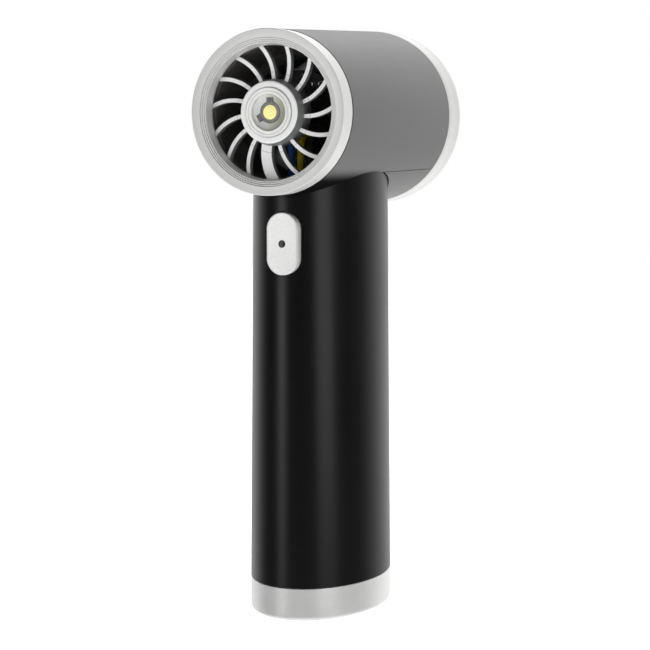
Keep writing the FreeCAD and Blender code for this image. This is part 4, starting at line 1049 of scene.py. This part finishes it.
def button_outline(grow=0.0):
    """The button's outline on a front view."""
    straight = 4.5 * MM
    centre = (0, (knob_low.z + knob_high.z) / 2)
    return stadium(5.25 * MM + grow, straight, centre)


def button_prism(grow):
    """The space that the button passes through in the handle's wall."""
    return prism(button_outline(grow), knob_low.y - 2 * MM, knob_high.y + 1 * MM, facing_front)


def make_button(finishes):
    """The push button: a flat face with a soft edge, a retaining flange and its dark window."""
    face, back, flange, lip = knob_low.y, knob_high.y, 1.2 * MM, 0.9 * MM
    corners = [
        (-4 * MM, face),
        (0, face, 0.5 * MM),
        (0, back - flange),
        (lip, back - flange),
        (lip, back),
        (-4 * MM, back),
    ]
    profile = rounded(corners, 0.1 * MM, closed=False)
    knob = carried(button_outline(), profile, facing_front, closed=False)
    centre = (0, (dot_low.z + dot_high.z) / 2)
    dot = dot_high.x
    hole = prism(circle(dot + 0.03 * MM, 64, centre), face - 1 * MM, dot_high.y, facing_front)
    knob = shaped(knob, [hole], bevel=0.06 * MM)
    piece("push_button", knob, finishes["button_silver"], "power_button", "button")
    side = [(0, dot_low.y), (dot, dot_low.y, 0.25 * MM), (dot, dot_high.y), (0, dot_high.y)]
    profile = rounded(side, 0.05 * MM, closed=False)
    light = carried(circle(0, 64, centre), profile, facing_front, closed=False)
    piece("indicator", light, finishes["window_dark"], "button_window", "button")


def make_cap(finishes):
    """The silver cap: a cup with a rounded foot, a spigot, two screw holes and the port."""
    spigot, wall, floor, foot = HANDLE_WALL + 0.1 * MM, 1.4 * MM, 3 * MM, 1.4 * MM
    flat = 9 * MM
    corners = [
        (-flat, 0),
        (0, 0, foot),
        (0, CAP_HEIGHT, 0.25 * MM),
        (-spigot, CAP_HEIGHT),
        (-spigot, cap_high.z),
        (-spigot - wall, cap_high.z),
        (-spigot - wall, floor),
        (-flat, floor),
    ]
    profile = divided(rounded(corners, 0.15 * MM, closed=False), 4 * MM, closed=False)
    cup = carried(handle_oval(HANDLE_BASE_WIDTH), profile, upright, closed=False)
    holes = [
        prism(circle(radius, 64, (0, y)), low, high, upright)
        for y in screw_places()
        for radius, low, high in ((2.8 * MM, -1 * MM, 1.9 * MM), (1.6 * MM, 0, 4 * MM))
    ]
    cup = shaped(cup, [*holes, port_opening()], bevel=0.12 * MM, crease=50)
    piece("base_cup", cup, finishes["cap_silver"], "base_cap")


def port_opening():
    """The oval slot in the cap's rear wall that the charging socket sits in."""
    play = 0.12 * MM
    half_height = (port_high.z - port_low.z) / 2 + play
    half_width = port_high.x + play
    middle = (port_low.z + port_high.z) / 2
    outline = []
    for (x, y), out in stadium(half_height, half_width - half_height, (0, 0)):
        outline.append(((y, x + middle), (out[1], out[0])))
    return prism(outline, port_low.y - 1 * MM, port_high.y + 3 * MM, facing_front)


def screw_places():
    """Where along Y the two cap screws stand."""
    head = 2.5 * MM
    return (screw_low.y + head, screw_high.y - head)


def make_cap_screws(finishes):
    """Two pan-head screws with a cross recess, set from one screw by a node tree."""
    head, head_height, shank = 2.5 * MM, 1.6 * MM, 1.2 * MM
    low, high = screw_low.z, screw_high.z
    neck = low + head_height
    side = [(0, low), (head, low, 0.8 * MM), (head, neck), (shank, neck), (shank, high, 0.5 * MM), (0, high)]
    profile = rounded(side, 0.08 * MM, closed=False)
    screw = carried(circle(0, 64), profile, upright, closed=False)
    arm, half, depth = 1.45 * MM, 0.27 * MM, 0.9 * MM
    cross = [box_mesh((-a, -b, low - depth), (a, b, low + depth)) for a, b in ((arm, half), (half, arm))]
    screw = shaped(screw, cross, bevel=0.05 * MM)
    model = temporary(screw)
    first, second = screw_places()
    tree = Tree("cap screws", {"Count": 2, "First": first, "Step": second - first}, Screw=model,
                Finish=finishes["plain_steel"])
    shape = tree.add("ObjectInfo", output=4, Object=tree["Screw"])
    spots = tree.add("MeshLine", {"mode": "OFFSET"}, Count=tree["Count"],
                     Start_Location=tree.vector(0, tree["First"]),
                     Offset=tree.vector(0, tree["Step"]))
    turn_step, first_turn = 0.9, 0.3
    turn = tree.vector(z=tree.index() * turn_step + first_turn)
    screws = tree.add("InstanceOnPoints", Points=spots, Instance=shape, Rotation=turn)
    mesh = tree.made(tree.coated(screws))
    bpy.data.objects.remove(model)
    piece("cap_screws", mesh, None, "base_screws")


# ---------------------------------------------------------------- driver board and impeller


def make_driver_parts(finishes):
    """Chips and small parts in rings on the driver board, each with two bright solder ends."""
    face = board_low.y - OUTLET
    tree = Tree("driver parts", {
        "Switch Ring": 10.6 * MM,
        "Capacitor Ring": 7.2 * MM,
        "Resistor Ring": 12.2 * MM,
        "Board Face": face,
    }, Body=finishes["chip_black"], Ends=finishes["solder"])
    lowest, gap_middle, gap_half = -3.6 * MM, 2 * MM, 6 * MM
    rings = []
    for label, count, wide, tall, rise, phase in (
        ("Switch Ring", 6, 2.6 * MM, 2.2 * MM, 0.85 * MM, 30),
        ("Capacitor Ring", 8, 1.1 * MM, 0.7 * MM, 0.6 * MM, 8),
        ("Resistor Ring", 12, 0.8 * MM, 0.5 * MM, 0.4 * MM, 5),
    ):
        body = tree.add("MeshCube", Size=tree.vector(wide * 0.7, tall, rise))
        end = tree.add("MeshCube", Size=tree.vector(wide * 0.16, tall * 0.4, rise * 0.8))
        ends = [tree.add("Transform", Geometry=end, Translation=tree.vector(side * wide * 0.42))
                for side in (-1, 1)]
        part = tree.joined(tree.coated(body, "Body"), *(tree.coated(end, "Ends") for end in ends))
        part = tree.add("Transform", Geometry=part, Translation=tree.vector(z=rise / 2))
        turn = math.radians(phase) + tree.index() * (math.tau / count)
        across, up = turn.sine() * tree[label], turn.cosine() * tree[label]
        spots = tree.add("Points", Count=count, Position=tree.vector(across, up))
        clear = calc(tree.group, "MAXIMUM",
                     calc(tree.group, "GREATER_THAN", up, lowest),
                     calc(tree.group, "GREATER_THAN", abs(across - gap_middle), gap_half))
        rings.append(tree.add("InstanceOnPoints", Points=spots, Selection=clear, Instance=part))
    whole = tree.on_head(tree.joined(*rings), tree["Board Face"])
    mesh = tree.made(tree.add("RealizeInstances", Geometry=whole))
    piece("driver_parts", mesh, None, "driver_components")


def make_impeller(finishes):
    """Thirteen twisted blades grown by rule on a turned hub."""
    front, nose = fan_low.y - OUTLET, fan_high.y - OUTLET
    bore, hub_lip = 1.5 * MM, 1.5 * MM
    hub = turned([
        (bore, front + 2 * MM),
        (POD - hub_lip, front + 2 * MM),
        (POD - hub_lip, front),
        (POD, front),
        (POD, front + 5 * MM, 3 * MM),
        (POD - 1.2 * MM, front + 8.5 * MM, 4 * MM),
        (POD - 4.4 * MM, front + 12.5 * MM, 4 * MM),
        (4.4 * MM, nose),
        (bore, nose),
    ])
    piece("impeller_hub", hub, finishes["impeller_grey"], "impeller", "rotor")
    tree = Tree("impeller blades", {
        "Blade Count": 13,
        "Root Radius": POD - 1.3 * MM,
        "Tip Radius": 19.3 * MM,
        "Front": front + 0.8 * MM,
        "Back": front + 9.5 * MM,
        "Root Lean": 2.0 * MM,
        "Tip Lean": 4.1 * MM,
        "Bow": 0.7 * MM,
        "Thickness": 0.9 * MM,
    }, Finish=finishes["impeller_grey"])
    sheet = tree.add("MeshGrid", Size_X=1.0, Size_Y=1.0, Vertices_X=9, Vertices_Y=17)
    x, y, _ = tree.position()
    out, chord = x + 0.5, y + 0.5
    reach = out.towards(tree["Root Radius"], tree["Tip Radius"])
    lean = out.towards(tree["Root Lean"], tree["Tip Lean"]) * (1 - chord * 2)
    across = lean + (chord * math.pi).sine() * tree["Bow"]
    depth = chord.towards(tree["Front"], tree["Back"])
    blade = tree.add("SetPosition", Geometry=sheet,
                     Position=tree.vector(across, reach * -1, depth * -1))
    solid = tree.thickened(blade, tree["Thickness"])
    blades = tree.round_axis(solid, tree["Blade Count"])
    mesh = tree.made(tree.coated(tree.on_head(blades, 0.0)))
    mesh = shaped(mesh, bevel=0.2 * MM, crease=50)
    piece("impeller_blades", mesh, None, "impeller", "rotor")


# ---------------------------------------------------------------- carried-over nodes


def coat_frame(finishes):
    """Gives every CAD node that is still shown the finish of its slot."""
    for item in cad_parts.values():
        if item.hide_render:
            continue
        for slot in item.material_slots:
            slot.material = finishes[slot.material.name.split(".")[0]]


# ---------------------------------------------------------------- studio


CAMERA_AZIMUTH = 22.73
CAMERA_ELEVATION = 4.52
CAMERA_DISTANCE = 0.5904
CAMERA_LENS = 99.57
CAMERA_SENSOR = 36
CAMERA_SHIFT = (-0.005, -0.0517)
AIM = Vector((0, 0, 0.1014))


def towards(azimuth, elevation):
    """The direction from the object to a point on the studio's sphere, in degrees."""
    a, e = math.radians(azimuth), math.radians(elevation)
    return Vector((math.sin(a) * math.cos(e), -math.cos(a) * math.cos(e), math.sin(e)))


def make_camera():
    """A long lens a little above the middle of the object, framed low and slightly left."""
    data = bpy.data.cameras.new("camera")
    data.lens, data.sensor_width = CAMERA_LENS, CAMERA_SENSOR
    data.shift_x, data.shift_y = CAMERA_SHIFT
    item = placed("camera", data)
    back = towards(CAMERA_AZIMUTH, CAMERA_ELEVATION)
    item.location = AIM + back * CAMERA_DISTANCE
    item.rotation_euler = back.to_track_quat("Z", "Y").to_euler()
    bpy.context.scene.camera = item


def softbox(name, azimuth, elevation, distance, width, height, glow):
    """An even rectangular light that faces the object; glow is its brightness per area."""
    data = bpy.data.lights.new(name, "AREA")
    data.shape, data.size, data.size_y = "RECTANGLE", width, height
    data.energy = glow * math.pi * width * height
    item = placed(name, data)
    direction = towards(azimuth, elevation)
    item.location = AIM + direction * distance
    item.rotation_euler = direction.to_track_quat("Z", "Y").to_euler()


def make_surroundings():
    """White paper behind and below the object, darkness round the camera, a white backdrop."""
    world = bpy.data.worlds.new("studio")
    world.use_nodes = True
    group = world.node_tree
    group.nodes.clear()
    direction = group.nodes.new("ShaderNodeTexCoord").outputs["Generated"]

    def facing(way):
        node = group.nodes.new("ShaderNodeVectorMath")
        node.operation = "DOT_PRODUCT"
        group.links.new(direction, node.inputs[0])
        node.inputs[1].default_value = way
        return Field(group, node.outputs["Value"])

    behind_glow, below_glow, dark = 0.95, 0.8, 0.04
    away = facing(-towards(CAMERA_AZIMUTH, 0))
    behind = ranged(group, away, 0.08, 0.92, to_high=behind_glow, smooth=True)
    below = ranged(group, facing((0, 0, -1)), 0.25, 0.75, to_high=below_glow, smooth=True)
    glow = calc(group, "MAXIMUM", behind, below) + dark
    seen = group.nodes.new("ShaderNodeLightPath").outputs["Is Camera Ray"]
    glow = calc(group, "MAXIMUM", glow, Field(group, seen))
    paper = group.nodes.new("ShaderNodeBackground")
    paper.inputs["Color"].default_value = (1, 1, 1, 1)
    plug(group, glow, paper.inputs["Strength"])
    out = group.nodes.new("ShaderNodeOutputWorld")
    group.links.new(paper.outputs[0], out.inputs["Surface"])
    bpy.context.scene.world = world


def make_floor():
    """A plain pale floor, lit from itself so that it stays even round the object."""
    finish = Finish("floor paper", grey(0.9), Emission_Strength=0.8)
    finish.shader.inputs["Emission Color"].default_value = (1, 1, 1, 1)
    finish.coloured(finish.noise(40 * MM), grey(0.88), grey(0.92))
    finish.rough(finish.noise(5 * MM), 0.8, 0.95)
    half, bottom, top = 1.5, -0.004, -0.0002
    floor = temporary(box_mesh((-half, -half, bottom), (half, half, top)))
    floor.name = "floor"
    floor.data.materials.append(finish.material)
    floor.visible_glossy = False


def make_studio():
    """Camera, floor, surroundings and four softboxes."""
    make_camera()
    make_surroundings()
    make_floor()
    softbox("left box", -29, 8, 1.2, 0.42, 1.1, 1.6)
    softbox("right box", 66, 10, 1.2, 0.62, 1.1, 1.3)
    softbox("top box", 150, 70, 1.1, 1.1, 1.0, 3.6)
    softbox("rear box", -135, 20, 1.4, 0.8, 1.0, 0.5)
    bpy.context.scene.view_settings.view_transform = "Standard"


# ---------------------------------------------------------------- build

finishes = make_finishes()
for make in (
    make_outlet_ring, make_lamp_hub, make_guide_vanes, make_lamp, make_drum, make_intake_ring,
    make_intake_guard, make_dust_screen, make_handle, make_button, make_cap, make_cap_screws,
    make_driver_parts, make_impeller, coat_frame,
):
    make(finishes)
make_studio()
